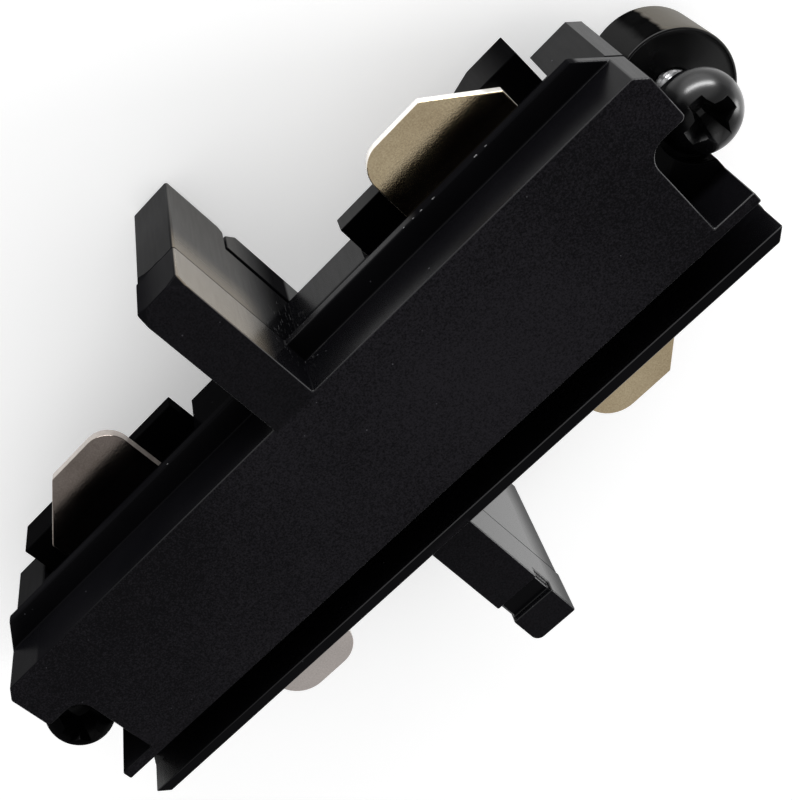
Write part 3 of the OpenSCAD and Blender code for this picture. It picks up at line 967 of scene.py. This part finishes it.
class Bench:
    """Turns meshes into pieces that stand on their own axis and ride on a body."""

    def __init__(self, paint: Paintbox) -> None:
        """Takes the finishes.

        Args:
            paint: The box of finishes.
        """
        self.paint = paint

    def piece(self, name: str, mesh: bpy.types.Mesh, place: Point, finish: Finish, body: str,
              replaces: str | None = None, slot: str | None = None) -> bpy.types.Object:
        """Sets a mesh in its place as a piece of the connector.

        Args:
            name: The piece's name.
            mesh: Its mesh, in metres, around its own origin.
            place: Where its origin goes, in millimetres.
            finish: Its finish.
            body: The body that it rides on.
            replaces: The node that it stands for, if any.
            slot: Not used.

        Returns:
            The object.
        """
        thing = added(name, mesh)
        thing.location = Vector(place) * MM
        self.paint.give(thing, finish)
        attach(thing, body)
        if replaces:
            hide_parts(replaces)
        log.info("built %s with %d faces", name, len(mesh.polygons))
        return thing

    @staticmethod
    def smooth(mesh: bpy.types.Mesh, angle: float = SMOOTH_ANGLE) -> None:
        """Shades a mesh smooth and keeps its real edges sharp.

        Args:
            mesh: The mesh.
            angle: The angle above which an edge stays sharp, in degrees.
        """
        mesh.polygons.foreach_set("use_smooth", [True] * len(mesh.polygons))
        mesh.set_sharp_from_angle(angle=math.radians(angle))

    @staticmethod
    def finished(work: bmesh.types.BMesh, name: str) -> bpy.types.Mesh:
        """Closes the mesh work into a mesh.

        Args:
            work: The mesh work, in millimetres.
            name: The mesh's name.

        Returns:
            The mesh, in metres.
        """
        bmesh.ops.recalc_face_normals(work, faces=work.faces)
        bmesh.ops.scale(work, vec=(MM, MM, MM), verts=work.verts)
        mesh = bpy.data.meshes.new(name)
        work.to_mesh(mesh)
        work.free()
        return mesh

    @staticmethod
    def turned(profile: Sequence[Flat], segments: int, closed: bool = False,
               swell: Callable[[float, float, float], float] | None = None) -> bmesh.types.BMesh:
        """Turns a profile around the Z axis.

        Args:
            profile: Radius and height of each point, in millimetres.
            segments: Steps around the axis.
            closed: Whether the last point joins the first.
            swell: Gives a point's own radius from its radius, height and angle.

        Returns:
            The mesh work, in millimetres.
        """
        work = bmesh.new()
        rings: list[list[bmesh.types.BMVert]] = []
        for radius, height in profile:
            if radius < ON_AXIS:
                rings.append([work.verts.new((0.0, 0.0, height))])
                continue
            ring = []
            for step in range(segments):
                angle = math.tau * step / segments
                reach = swell(radius, height, angle) if swell else radius
                ring.append(work.verts.new((reach * math.cos(angle), reach * math.sin(angle), height)))
            rings.append(ring)
        pairs = list(zip(rings, rings[1:]))
        if closed:
            pairs.append((rings[-1], rings[0]))
        for low, high in pairs:
            for step in range(segments):
                after = (step + 1) % segments
                around = ((low, step), (low, after), (high, after), (high, step))
                corners = [ring[side % len(ring)] for ring, side in around]
                work.faces.new(list(dict.fromkeys(corners)))
        return work

    @staticmethod
    def lofted(sections: Sequence[Sequence[Point]]) -> bmesh.types.BMesh:
        """Joins like sections one above the other and closes both ends.

        Args:
            sections: The sections' points, in millimetres, each with the same count.

        Returns:
            The mesh work, in millimetres.
        """
        work = bmesh.new()
        rings = [[work.verts.new(point) for point in section] for section in sections]
        count = len(rings[0])
        for low, high in zip(rings, rings[1:]):
            for step in range(count):
                after = (step + 1) % count
                work.faces.new((low[step], low[after], high[after], high[step]))
        work.faces.new(list(reversed(rings[0])))
        work.faces.new(rings[-1])
        bmesh.ops.recalc_face_normals(work, faces=work.faces)
        return work

    @staticmethod
    def carved(blank: bpy.types.Mesh, tool: bpy.types.Mesh) -> bpy.types.Mesh:
        """Cuts one mesh out of another.

        Args:
            blank: The mesh that is cut.
            tool: The mesh of the cut.

        Returns:
            The cut mesh.
        """
        pair = [added(mesh.name, mesh) for mesh in (blank, tool)]
        cut = pair[0].modifiers.new("cut", "BOOLEAN")
        cut.operation = "DIFFERENCE"
        cut.solver = "EXACT"
        cut.object = pair[1]
        view = bpy.context.evaluated_depsgraph_get()
        view.update()
        result = bpy.data.meshes.new_from_object(pair[0].evaluated_get(view))
        for thing in pair:
            bpy.data.objects.remove(thing)
        return result

    @staticmethod
    def eased(mesh: bpy.types.Mesh, low: float, high: float, offset: float) -> None:
        """Eases the sharp edges between two heights.

        Args:
            mesh: The mesh, in metres.
            low: The lower height, in millimetres.
            high: The upper height, in millimetres.
            offset: The width of the eased edge, in millimetres.
        """
        work = bmesh.new()
        work.from_mesh(mesh)
        chosen = [edge for edge in work.edges
                  if len(edge.link_faces) == 2 and edge.calc_face_angle(0.0) > math.radians(EASED_ANGLE)
                  and all(low * MM < vert.co.z < high * MM for vert in edge.verts)]
        bmesh.ops.bevel(work, geom=chosen, offset=offset * MM, segments=2, affect="EDGES", profile=0.5,
                        clamp_overlap=True)
        work.to_mesh(mesh)
        work.free()


class Turn(Enum):
    """The way a cross recess faces."""

    FRONT = 1
    BACK = -1


# The recess's levels: depth below the surface, span and width, each as a share of its full measure

RECESS_LEVELS = ((1.0, 0.1, 0.3), (0.72, 0.34, 0.62), (0.4, 0.62, 0.78), (0.0, 0.97, 1.0), (-0.4, 1.2, 1.12))
LEAST_WING = 1.02
MOST_FLARE = 1.1


@dataclass
class CrossRecess:
    """A cross-point driver's recess, widest at the surface, with wing floors that slope to a blunt point.

    Attributes:
        top: Height of the surface above the axis's origin, in millimetres.
        depth: Depth at the middle.
        span: Half of the wings' length at the surface.
        width: Half of the wings' width at the surface.
        turn: Angle of the cross, in degrees.
        facing: Whether it opens to the front or the back.
        throat: How far the corners between the wings are cut back, as a share of the wings' width.
    """

    top: float
    depth: float
    span: float
    width: float
    turn: float
    facing: Turn = Turn.FRONT
    throat: float = 1.15

    def tool(self) -> bpy.types.Mesh:
        """Builds the shape that cuts the recess.

        Returns:
            The cutting mesh.
        """
        sections = []
        for down, span, width in RECESS_LEVELS:
            height = self.top - down * self.depth * self.facing.value
            half_w = self.width * width
            half_l = max(self.span * span, half_w * LEAST_WING)
            inner = self.throat * half_w
            flare_l = 0.5 * (inner + half_l)
            flare_w = 0.5 * (half_w + min(inner, MOST_FLARE * half_w))
            corners = [(half_l, half_w), (flare_l, flare_w), (inner, inner), (flare_w, flare_l), (half_w, half_l)]
            points = []
            for quarter in range(4):
                angle = math.radians(self.turn + 90 * quarter)
                points += [(*spun(corner, angle), height) for corner in corners]
            sections.append(points)
        return Bench.finished(Bench.lofted(sections), "recess_tool")


# Sub-assemblies

# How the nodes' sharp edges are rounded: reach in metres, angles in degrees

JOIN_REACH = 1e-6
FLAT_ANGLE = 0.5
SHARP_ANGLE = 35.0
ROUND_STEPS = 3

# The shape of a flash nib: how its bulges swing, and its stretch along each axis

BULGE = 0.3
BULGES_ALONG = 7.0
BULGES_UP = 5.0
BULGE_SHIFT = 3.0
NIB_STRETCH = (1.5, 0.5, 0.7)
NIB_SINK = 0.02
FLASH_SMOOTH = 60.0


@dataclass
class MouldedHousing:
    """The front cover, the rear body and the rear cover, with the flash that their moulds leave.

    Attributes:
        bench: The bench that makes and sets the pieces.
        nodes: The frame's nodes.
        edge: Radius of the mouldings' soft edges, in millimetres.
        flash_spots: Distance along the joiner, height and size of each flash nib on the left flange, in millimetres.
        flange_y: The left flange's outer face.
    """

    bench: Bench
    nodes: dict[str, bpy.types.Object]
    edge: float = 0.12
    flash_spots: tuple[Point, ...] = ((18.1, 14.02, 0.06), (17.33, 14.02, 0.08), (13.97, 14.02, 0.08),
                                      (12.99, 14.02, 0.06), (12.35, 14.02, 0.05), (11.6, 14.0, 0.05),
                                      (-9.0, 14.0, 0.05))
    flange_y: float = 8.45

    def build(self) -> None:
        """Dresses the mouldings and adds the flash."""
        finishes = {"front_cover": Finish.COVER, "rear_body": Finish.BODY, "rear_cover": Finish.BODY}
        for name, finish in finishes.items():
            self.bench.paint.give(self.nodes[name], finish)
            self.soften(self.nodes[name], self.edge, bounded=name != "front_cover")
            log.info("dressed %s", name)
        self.flash()

    @staticmethod
    def soften(node: bpy.types.Object, width: float, bounded: bool = False) -> None:
        """Rounds a node's sharp edges.

        Args:
            node: The node.
            width: The rounding's width, in millimetres.
            bounded: Whether the rounding stays narrower than the node's smallest face.
        """
        joined = node.modifiers.new("joined_faces", "WELD")
        joined.merge_threshold = JOIN_REACH
        flat = node.modifiers.new("whole_faces", "DECIMATE")
        flat.decimate_type = "DISSOLVE"
        flat.angle_limit = math.radians(FLAT_ANGLE)
        soft = node.modifiers.new("soft_edges", "BEVEL")
        soft.width = width * MM
        soft.segments = ROUND_STEPS
        soft.limit_method = "ANGLE"
        soft.angle_limit = math.radians(SHARP_ANGLE)
        soft.harden_normals = True
        soft.use_clamp_overlap = bounded

    def flash(self) -> None:
        """Adds the small nibs of flash along the left flange."""
        work = bmesh.new()
        for spot, (x, z, size) in enumerate(self.flash_spots):
            made = bmesh.ops.create_icosphere(work, subdivisions=2, radius=size)
            for vert in made["verts"]:
                swing = math.sin(BULGES_ALONG * vert.co.x / size + BULGE_SHIFT * spot)
                bulge = 1.0 + BULGE * swing * math.cos(BULGES_UP * vert.co.z / size)
                long, thick, tall = NIB_STRETCH
                vert.co = Vector((x + long * bulge * vert.co.x, self.flange_y - NIB_SINK + thick * vert.co.y,
                                  z + tall * bulge * vert.co.z))
        mesh = Bench.finished(work, "flange_flash")
        Bench.smooth(mesh, FLASH_SMOOTH)
        self.bench.piece("flange_flash", mesh, (0.0, 0.0, 0.0), Finish.FLASH_GLINT, "housing", slot="cover_plastic")


@dataclass
class ContactSet:
    """The insulating holders, the contact blades, the busbars and their rivets.

    Attributes:
        bench: The bench that makes and sets the pieces.
        nodes: The frame's nodes.
        blade_edge: Radius of the blades' rolled edges, in millimetres.
        holder_edge: Radius of the holders' edges, in millimetres.
        bar_edge: Radius of the busbars' and the rivets' edges, in millimetres.
    """

    bench: Bench
    nodes: dict[str, bpy.types.Object]
    blade_edge: float = 0.1
    holder_edge: float = 0.07
    bar_edge: float = 0.05

    def build(self) -> None:
        """Dresses the contacts of both sides and both ends."""
        # The blades take copies of the nickel: the darker one on the left minus-X blade is painted shade, and the
        # warm and rosy-grey tints are painted reflections
        finishes = {"contact_holder": (Finish.HOLDER, self.holder_edge),
                    "contact_blade_left_a": (Finish.WARM_NICKEL, self.blade_edge),
                    "contact_blade_left_b": (Finish.SHADED_NICKEL, self.blade_edge),
                    "contact_blade_right_a": (Finish.WARM_NICKEL, self.blade_edge),
                    "contact_blade_right_b": (Finish.PALE_NICKEL, self.blade_edge),
                    "busbar": (Finish.BRASS, self.bar_edge), "rivet": (Finish.BRASS, self.bar_edge)}
        for name, node in self.nodes.items():
            for start, (finish, width) in finishes.items():
                if name.startswith(start):
                    self.bench.paint.give(node, finish)
                    MouldedHousing.soften(node, width)
                    log.info("dressed %s", name)


# The turned pieces' rounded edges: how far in from the side and how far from the end, in millimetres

HEAD_EDGE = ((0.22, 0.0), (0.1, 0.04), (0.02, 0.14), (0.0, 0.3))
DISC_FOOT = ((0.22, 0.0), (0.08, 0.04), (0.01, 0.14), (0.0, 0.25))
DISC_SHOULDER = ((0.008, 0.07), (0.035, 0.02), (0.08, 0.0))

# Height that the disc's foot and shoulder leave off its straight wall, in millimetres

DISC_ROUNDING = 0.47

# Small edges and steps of the turned pieces, in millimetres

TIP_EDGE = (0.1, 0.15)
NECK_STEP = 0.02
RING_PLAY = 0.01
SEAT_EDGE = (0.05, 0.04)

# Where the recesses' edges are eased: above the seat, over the top and under the seat, in millimetres

EASED_FROM = 0.8
EASED_OVER = 0.1
EASED_UNDER = 0.5

# The end screws' and their rings' steps, the ring's lobes and its sharp angle in degrees

THREAD_ROWS = 8
DOME_STEPS = 24
SCREW_STEPS = 96
RING_STEPS = 60
RING_LOBES = 3
RING_SHARP = 60.0
LEAST_SLANT = 0.2


@dataclass
class EndScrew:
    """A domed end screw with its thread and cross recess, and the ring that keeps it in its lug.

    Attributes:
        bench: The bench that makes and sets the pieces.
        end: The end's letter.
        axis: The screw's axis in X and Y, in millimetres.
        gap_angle: Direction that the ring's gap faces, in degrees.
        finish: The screw's finish.
        thread_r: Radius over the thread.
        root_r: Radius at the thread's root.
        pitch: The thread's pitch.
        head_r: The head's radius.
        head_z: Height of the head's underside.
        head_top: Height of the head's top.
        ring_z: Height of the ring's underside.
        ring_t: The ring's thickness.
        ring_r: The ring's outer radius.
        neck_r: Radius of the neck that the ring sits in.
        fullness: Power that flattens the head's dome, 1 for an ellipse.
        tip: Height of the screw's tip.
        thread_low: Height of the thread's first row of points.
        thread_top: Height of the thread's end.
        run_out: Length over which the thread runs out at either end.
        crest: How high the thread's flanks would meet, and how steeply they fall, in shares of its depth.
        rim_h: Height of the head's rim.
        recess: Depth, span and width of the recess.
        recess_turn: Angle of the recess, in degrees.
        recess_throat: How far the corners between its wings are cut back, as a share of its width.
        eased: Width of the recess's eased edges.
        ring_gap: Half of the ring's gap.
        ring_grip: Depth of the ring's inner bays.
        ring_web: Least width of the ring's band.
        ring_edge: Width of the ring's rounded edges.
    """

    bench: Bench
    end: str
    axis: Flat
    gap_angle: float
    finish: Finish
    thread_r: float = 1.25
    root_r: float = 0.98
    pitch: float = 0.5
    head_r: float = 2.5
    head_z: float = 12.0
    head_top: float = 14.7
    ring_z: float = 10.4
    ring_t: float = 0.4
    ring_r: float = 1.9
    neck_r: float = 0.95
    fullness: float = 0.75
    tip: float = 1.9
    thread_low: float = 2.3
    thread_top: float = 10.3
    run_out: float = 0.5
    crest: Flat = (1.25, 3.0)
    rim_h: float = 0.6
    recess: Point = (1.95, 1.9, 0.52)
    recess_turn: float = -3.0
    recess_throat: float = 1.4
    eased: float = 0.035
    ring_gap: float = 0.7
    ring_grip: float = 0.34
    ring_web: float = 0.25
    ring_edge: float = 0.04

    def build(self) -> None:
        """Builds the screw and its ring."""
        self.screw()
        self.ring()

    def reach(self, radius: float, height: float, angle: float) -> float:
        """Gives the thread's radius at a point of the shank.

        Args:
            radius: The profile's radius.
            height: The point's height.
            angle: The point's angle around the axis.

        Returns:
            The point's own radius.
        """
        if abs(radius - self.thread_r) > ON_AXIS or height > self.thread_top:
            return radius
        turn = (height / self.pitch - angle / math.tau) % 1.0
        middle, slope = self.crest
        crest = min(1.0, max(0.0, middle - slope * abs(turn - 0.5)))
        near_end = min(self.thread_top - height, height - self.tip)
        fade = min(1.0, max(0.0, near_end / self.run_out))
        return self.root_r + (self.thread_r - self.root_r) * (crest * fade + (1.0 - fade))

    def profile(self) -> list[Flat]:
        """Lists the screw's profile from its tip to its top.

        Returns:
            Radius and height of each point.
        """
        length = self.thread_top - self.thread_low
        steps = round(length / self.pitch * THREAD_ROWS)
        ring_top = self.ring_z + self.ring_t
        inset, rise = TIP_EDGE
        points = [(0.0, self.tip), (self.root_r - inset, self.tip), (self.root_r, self.tip + rise)]
        points += [(self.thread_r, self.thread_low + length * step / steps) for step in range(steps + 1)]
        points += [(self.thread_r, self.ring_z - NECK_STEP), (self.neck_r, self.ring_z), (self.neck_r, ring_top),
                   (self.thread_r, ring_top + NECK_STEP), (self.thread_r, self.head_z)]
        rim = self.head_z + self.rim_h
        under = [(self.head_r - inset, self.head_z + rise) for inset, rise in HEAD_EDGE]
        dome = []
        for step in range(DOME_STEPS + 1):
            angle = math.radians(90.0 * step / DOME_STEPS)
            height = rim + (self.head_top - rim) * math.sin(angle)
            dome.append((self.head_r * math.cos(angle) ** self.fullness, height))
        dome[-1] = (0.0, self.head_top)
        return points + under + dome

    def screw(self) -> None:
        """Builds the screw."""
        blank = Bench.finished(Bench.turned(self.profile(), SCREW_STEPS, swell=self.reach), "end_screw_blank")
        recess = CrossRecess(self.head_top, *self.recess, self.recess_turn, throat=self.recess_throat)
        mesh = Bench.carved(blank, recess.tool())
        Bench.eased(mesh, self.head_z + EASED_FROM, self.head_top + EASED_OVER, self.eased)
        Bench.smooth(mesh)
        self.bench.piece(f"threaded_screw_{self.end}", mesh, (*self.axis, 0.0), self.finish, f"screw_{self.end}",
                         replaces=f"end_screw_{self.end}")

    def ring(self) -> None:
        """Builds the open ring, with three lobes that grip the neck."""
        outer, inner = [], []
        half_gap = math.asin(self.ring_gap / self.ring_r)
        for step in range(RING_STEPS + 1):
            angle = half_gap + (math.tau - 2 * half_gap) * step / RING_STEPS
            grip = 0.5 + 0.5 * math.cos(RING_LOBES * (angle - math.pi))
            near = self.neck_r + NECK_STEP + self.ring_grip * (1.0 - grip)
            if math.cos(angle) > 0:
                near = max(near, self.ring_gap / max(LEAST_SLANT, abs(math.sin(angle))))
            near = min(near, self.ring_r - self.ring_web)
            outer.append((self.ring_r * math.cos(angle), self.ring_r * math.sin(angle)))
            inner.append((near * math.cos(angle), near * math.sin(angle)))
        spin = math.radians(self.gap_angle)
        points = [spun(point, spin) for point in outer + inner[::-1]]
        work = bmesh.new()
        top = self.ring_z + self.ring_t
        levels = (self.ring_z + RING_PLAY, top - RING_PLAY)
        rings = [[work.verts.new((x, y, level)) for x, y in points] for level in levels]
        total = len(points)
        for step in range(total):
            after = (step + 1) % total
            work.faces.new((rings[0][step], rings[0][after], rings[1][after], rings[1][step]))
        for level in rings:
            for step in range(RING_STEPS):
                work.faces.new((level[step], level[step + 1], level[total - 2 - step], level[total - 1 - step]))
        bmesh.ops.recalc_face_normals(work, faces=work.faces)
        sharp = [edge for edge in work.edges if edge.calc_face_angle(0.0) > math.radians(RING_SHARP)]
        bmesh.ops.bevel(work, geom=sharp, offset=self.ring_edge, segments=2, affect="EDGES", profile=0.5,
                        clamp_overlap=True)
        mesh = Bench.finished(work, "ring")
        Bench.smooth(mesh)
        self.bench.piece(f"spring_ring_{self.end}", mesh, (*self.axis, 0.0), Finish.CLIP, f"screw_{self.end}",
                         replaces=f"retaining_clip_{self.end}")


# The disc's steps and its sharp angle in degrees

DISC_STEPS = 128
WALL_STEPS = 6
DISH_STEPS = 8
DISC_SMOOTH = 30.0


@dataclass
class ClampDisc:
    """A turned disc with a dished front face, a rounded rim and one flat.

    Attributes:
        bench: The bench that makes and sets the pieces.
        end: The end's letter.
        axis: The disc's axis in X and Y, in millimetres.
        side: 1 if the flat faces minus X, -1 if it faces plus X.
        low: Height of its back face.
        height: Its height.
        radius: Its radius.
        bore: Its bore's radius.
        flat: Distance of the flat from the axis.
        rim: Width of the rim around the dish.
        dish: Depth of the dish.
        fall: How far the dish's edge lies below the rim.
        lip: Width of the edge between the rim and the dish.
        middle: Width of the flat ring around the bore.
        curve: Power of the dish's curve.
        ease: Width of the bore's eased edges.
    """

    bench: Bench
    end: str
    axis: Flat
    side: int
    low: float = 2.2
    height: float = 6.0
    radius: float = 3.85
    bore: float = 1.3
    flat: float = 2.8
    rim: float = 0.14
    dish: float = 0.35
    fall: float = 0.05
    lip: float = 0.08
    middle: float = 0.5
    curve: float = 1.6
    ease: float = 0.12

    def build(self) -> None:
        """Builds the disc."""
        outer, top = self.radius, self.height
        lip, mouth = outer - self.rim - self.lip, self.bore + self.ease
        wall_low, wall = DISC_FOOT[-1][1], top - DISC_ROUNDING
        profile = [(mouth, 0.0)] + [(outer - inset, rise) for inset, rise in DISC_FOOT]
        profile += [(outer, wall_low + wall * step / WALL_STEPS) for step in range(1, WALL_STEPS + 1)]
        profile += [(outer - inset, top - drop) for inset, drop in DISC_SHOULDER]
        profile += [(outer - self.rim, top), (lip, top - self.fall)]
        inner, floor = self.bore + self.middle, top - self.dish
        for step in range(1, DISH_STEPS + 1):
            share = step / DISH_STEPS
            radius = lip * (1 - share) + inner * share
            profile.append((radius, top - self.fall - (self.dish - self.fall) * (1 - (1 - share) ** self.curve)))
        profile += [(mouth, floor), (self.bore, floor - self.ease), (self.bore, self.ease)]
        work = Bench.turned(profile, DISC_STEPS, closed=True)
        normal = Vector((self.side, 0.0, 0.0))
        geometry = work.verts[:] + work.edges[:] + work.faces[:]
        cut = bmesh.ops.bisect_plane(work, geom=geometry, plane_co=normal * -self.flat, plane_no=-normal,
                                     clear_outer=True)
        rim = [item for item in cut["geom_cut"] if isinstance(item, bmesh.types.BMEdge)]
        bmesh.ops.holes_fill(work, edges=rim, sides=0)
        mesh = Bench.finished(work, "disc")
        Bench.smooth(mesh, DISC_SMOOTH)
        self.bench.piece(f"turned_disc_{self.end}", mesh, (*self.axis, self.low), Finish.DISC, f"disc_{self.end}",
                         replaces=f"clamp_disc_{self.end}")


# The cover screws' steps and how steeply their thread's flanks fall

PAN_STEPS = 12
COVER_SCREW_STEPS = 64
COARSE_ROWS = 6
COARSE_SLOPE = 3.2


@dataclass
class CoverScrew:
    """A pan-head screw that holds the covers from the back.

    Attributes:
        bench: The bench that makes and sets the pieces.
        node: The node that it stands for.
        along: Distance of its axis from the middle of the joiner, in millimetres.
        turn: Angle of its cross, in degrees.
        seat: Height of the head's seat.
        head_h: The head's height.
        head_r: The head's radius.
        shank_r: The shank's radius.
        end: Height of the shank's tip.
        root_r: Radius at the thread's root.
        point: Length of the shank's bare point.
        dome_h: Height of the head's dome.
        fullness: Power that flattens the dome, 1 for an ellipse.
        recess: Depth, span and width of the recess.
        eased: Width of the recess's eased edges.
    """

    bench: Bench
    node: str
    along: float
    turn: float
    seat: float = 4.4
    head_h: float = 1.2
    head_r: float = 1.8
    shank_r: float = 0.95
    end: float = 16.4
    root_r: float = 0.7
    point: float = 1.2
    dome_h: float = 0.62
    fullness: float = 0.8
    recess: Point = (0.95, 1.15, 0.27)
    eased: float = 0.03

    def build(self) -> None:
        """Builds the screw."""
        low = self.seat - self.head_h
        dome = []
        for step in range(PAN_STEPS + 1):
            angle = math.radians(90.0 - 90.0 * step / PAN_STEPS)
            reach = self.head_r * math.cos(angle) ** self.fullness if step else 0.0
            dome.append((reach, low + self.dome_h * (1.0 - math.sin(angle))))
        steps = round((self.end - self.point - self.seat) * COARSE_ROWS)
        length = self.end - self.point - NECK_STEP - self.seat
        shank = [(self.shank_r, self.seat + NECK_STEP + length * step / steps) for step in range(steps + 1)]
        inset, drop = SEAT_EDGE
        under = [(self.head_r, self.seat - drop), (self.head_r - inset, self.seat)]
        profile = dome + under + shank + [(0.0, self.end)]
        blank = Bench.finished(Bench.turned(profile, COVER_SCREW_STEPS, swell=self.reach), "cover_screw_blank")
        mesh = Bench.carved(blank, CrossRecess(low, *self.recess, self.turn, Turn.BACK).tool())
        Bench.eased(mesh, low - EASED_OVER, self.seat - EASED_UNDER, self.eased)
        Bench.smooth(mesh)
        self.bench.piece(f"{self.node}_detailed", mesh, (self.along, 0.0, 0.0), Finish.PLAIN_SCREW, "housing",
                         replaces=self.node)

    def reach(self, radius: float, height: float, angle: float) -> float:
        """Gives the coarse thread's radius at a point of the shank.

        Args:
            radius: The profile's radius.
            height: The point's height.
            angle: The point's angle around the axis.

        Returns:
            The point's own radius.
        """
        if abs(radius - self.shank_r) > ON_AXIS:
            return radius
        turn = (height - angle / math.tau) % 1.0
        return self.root_r + (self.shank_r - self.root_r) * max(0.0, 1.0 - COARSE_SLOPE * abs(turn - 0.5))


class Lamp(NamedTuple):
    """A soft lamp.

    Attributes:
        name: Its name.
        place: Its middle, in metres.
        size: Its width and height, in metres.
        radiance: Its brightness, where the white floor's is about 1.
    """

    name: str
    place: Point
    size: Flat
    radiance: float


LAMPS = (Lamp("low_light", place=(0.44, 0.55, 0.08), size=(0.85, 0.15), radiance=17.0),
         Lamp("right_light", place=(0.42, -0.36, 0.13), size=(0.16, 0.22), radiance=13.0))


@dataclass
class Studio:
    """The pale floor, the soft lights and the camera.

    Attributes:
        camera_place: The camera's place, in millimetres.
        camera_right: The direction of the picture's right.
        camera_down: The direction of the picture's foot.
        camera_ahead: The direction that the camera looks in.
        focal_px: The focal length, in the picture's pixels.
        centre_px: The picture's point that lies straight ahead.
        frame_px: The picture's size.
        sky: Strength of the even light from all around.
        sensor: Width of the camera's sensor, in millimetres.
        floor_half: Half of the floor's width, in metres.
        floor_tones: The floor's darker and lighter patches.
        floor_glow: Strength of the floor's own light.
    """

    camera_place: Point = (22.3555, 40.1951, 96.8979)
    camera_right: Point = (0.690079, -0.716747, 0.100327)
    camera_down: Point = (-0.657285, -0.562645, 0.501405)
    camera_ahead: Point = (-0.302931, -0.411952, -0.859376)
    focal_px: float = 1505.817
    centre_px: Flat = (282.846, 513.488)
    frame_px: tuple[int, int] = (792, 800)
    sky: float = 0.7
    sensor: float = 36.0
    floor_half: float = 6.0
    floor_tones: Flat = (0.93, 0.95)
    floor_glow: float = 0.27

    def build(self) -> None:
        """Builds the floor, the lights and the camera."""
        bpy.context.scene.view_settings.view_transform = "Standard"
        self.floor()
        self.lights()
        self.camera()

    def camera(self) -> None:
        """Places the camera at the photograph's point of view."""
        data = bpy.data.cameras.new("camera")
        data.sensor_fit = "AUTO"
        data.sensor_width = self.sensor
        long_side = max(self.frame_px)
        data.lens = self.focal_px * self.sensor / long_side
        data.shift_x = (self.frame_px[0] / 2 - self.centre_px[0]) / long_side
        data.shift_y = (self.centre_px[1] - self.frame_px[1] / 2) / long_side
        data.clip_start = 0.001
        camera = added("camera", data)
        across = Vector(self.camera_right)
        up = -Vector(self.camera_down)
        back = -Vector(self.camera_ahead)
        turn = Matrix((across, up, back)).transposed().to_4x4()
        camera.matrix_world = Matrix.Translation(Vector(self.camera_place) * MM) @ turn
        bpy.context.scene.camera = camera

    def floor(self) -> None:
        """Lays the pale floor under the connector."""
        mesh = bpy.data.meshes.new("floor")
        corners = [(x * self.floor_half, y * self.floor_half, 0.0) for x, y in ((-1, -1), (1, -1), (1, 1), (-1, 1))]
        mesh.from_pydata(corners, [], [(0, 1, 2, 3)])
        floor = added("floor", mesh)
        sheet = NodeSheet("pale_floor")
        dark, light = ((tone, tone, tone) for tone in self.floor_tones)
        sheet.drive("Base Color", sheet.grade(sheet.noise(FLOOR_CLOUDS), PATCHES, dark, light))
        sheet.set(Roughness=0.8, Specular_IOR_Level=0.1)
        sheet.set(Emission_Color=(1.0, 1.0, 1.0, 1.0), Emission_Strength=self.floor_glow)
        mesh.materials.append(sheet.material)

    @staticmethod
    def set_lamp(lamp: Lamp) -> None:
        """Sets a soft lamp so that it faces the connector.

        Args:
            lamp: The lamp.
        """
        data = bpy.data.lights.new(lamp.name, "AREA")
        data.shape = "RECTANGLE"
        data.size, data.size_y = lamp.size
        data.energy = lamp.radiance * math.pi * math.prod(lamp.size)
        thing = added(lamp.name, data)
        thing.location = lamp.place
        thing.rotation_euler = (-Vector(lamp.place)).to_track_quat("-Z", "Y").to_euler()

    def lights(self) -> None:
        """Adds the soft studio light."""
        world = bpy.data.worlds.new("studio_air")
        world.use_nodes = True
        air = world.node_tree.nodes["Background"]
        air.inputs[0].default_value = (1.0, 1.0, 1.0, 1.0)
        air.inputs[1].default_value = self.sky
        bpy.context.scene.world = world
        for lamp in LAMPS:
            self.set_lamp(lamp)


# The end screws' and discs' axes, and the cover screws' places along the joiner, in millimetres

AXIS_A = (27.9, 0.0)
AXIS_B = (-27.9, -0.4)
INNER_SCREW = 5.3
OUTER_SCREW = 20.7


def main() -> None:
    """Loads the frame, dresses the connector and sets the studio."""
    logging.basicConfig(level=logging.INFO, format="%(name)s: %(message)s")
    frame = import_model()
    nodes = frame["nodes"]
    bench = Bench(Paintbox())
    MouldedHousing(bench, nodes).build()
    ContactSet(bench, nodes).build()
    # The minus-X end screw takes the darker copy of the finish, which is painted shade
    ends = (("a", AXIS_A, 1, 0.0, Finish.SCREW), ("b", AXIS_B, -1, 180.0, Finish.SHADED_SCREW))
    for end, axis, side, gap, finish in ends:
        EndScrew(bench, end, axis, gap, finish).build()
        ClampDisc(bench, end, axis, side).build()
    cover_screws = (("inner_a", INNER_SCREW, 12.0), ("inner_b", -INNER_SCREW, 37.0),
                    ("outer_a", OUTER_SCREW, 64.0), ("outer_b", -OUTER_SCREW, -21.0))
    for spot, along, turn in cover_screws:
        CoverScrew(bench, f"cover_screw_{spot}", along, turn).build()
    Studio().build()


if __name__ == "__main__":
    main()
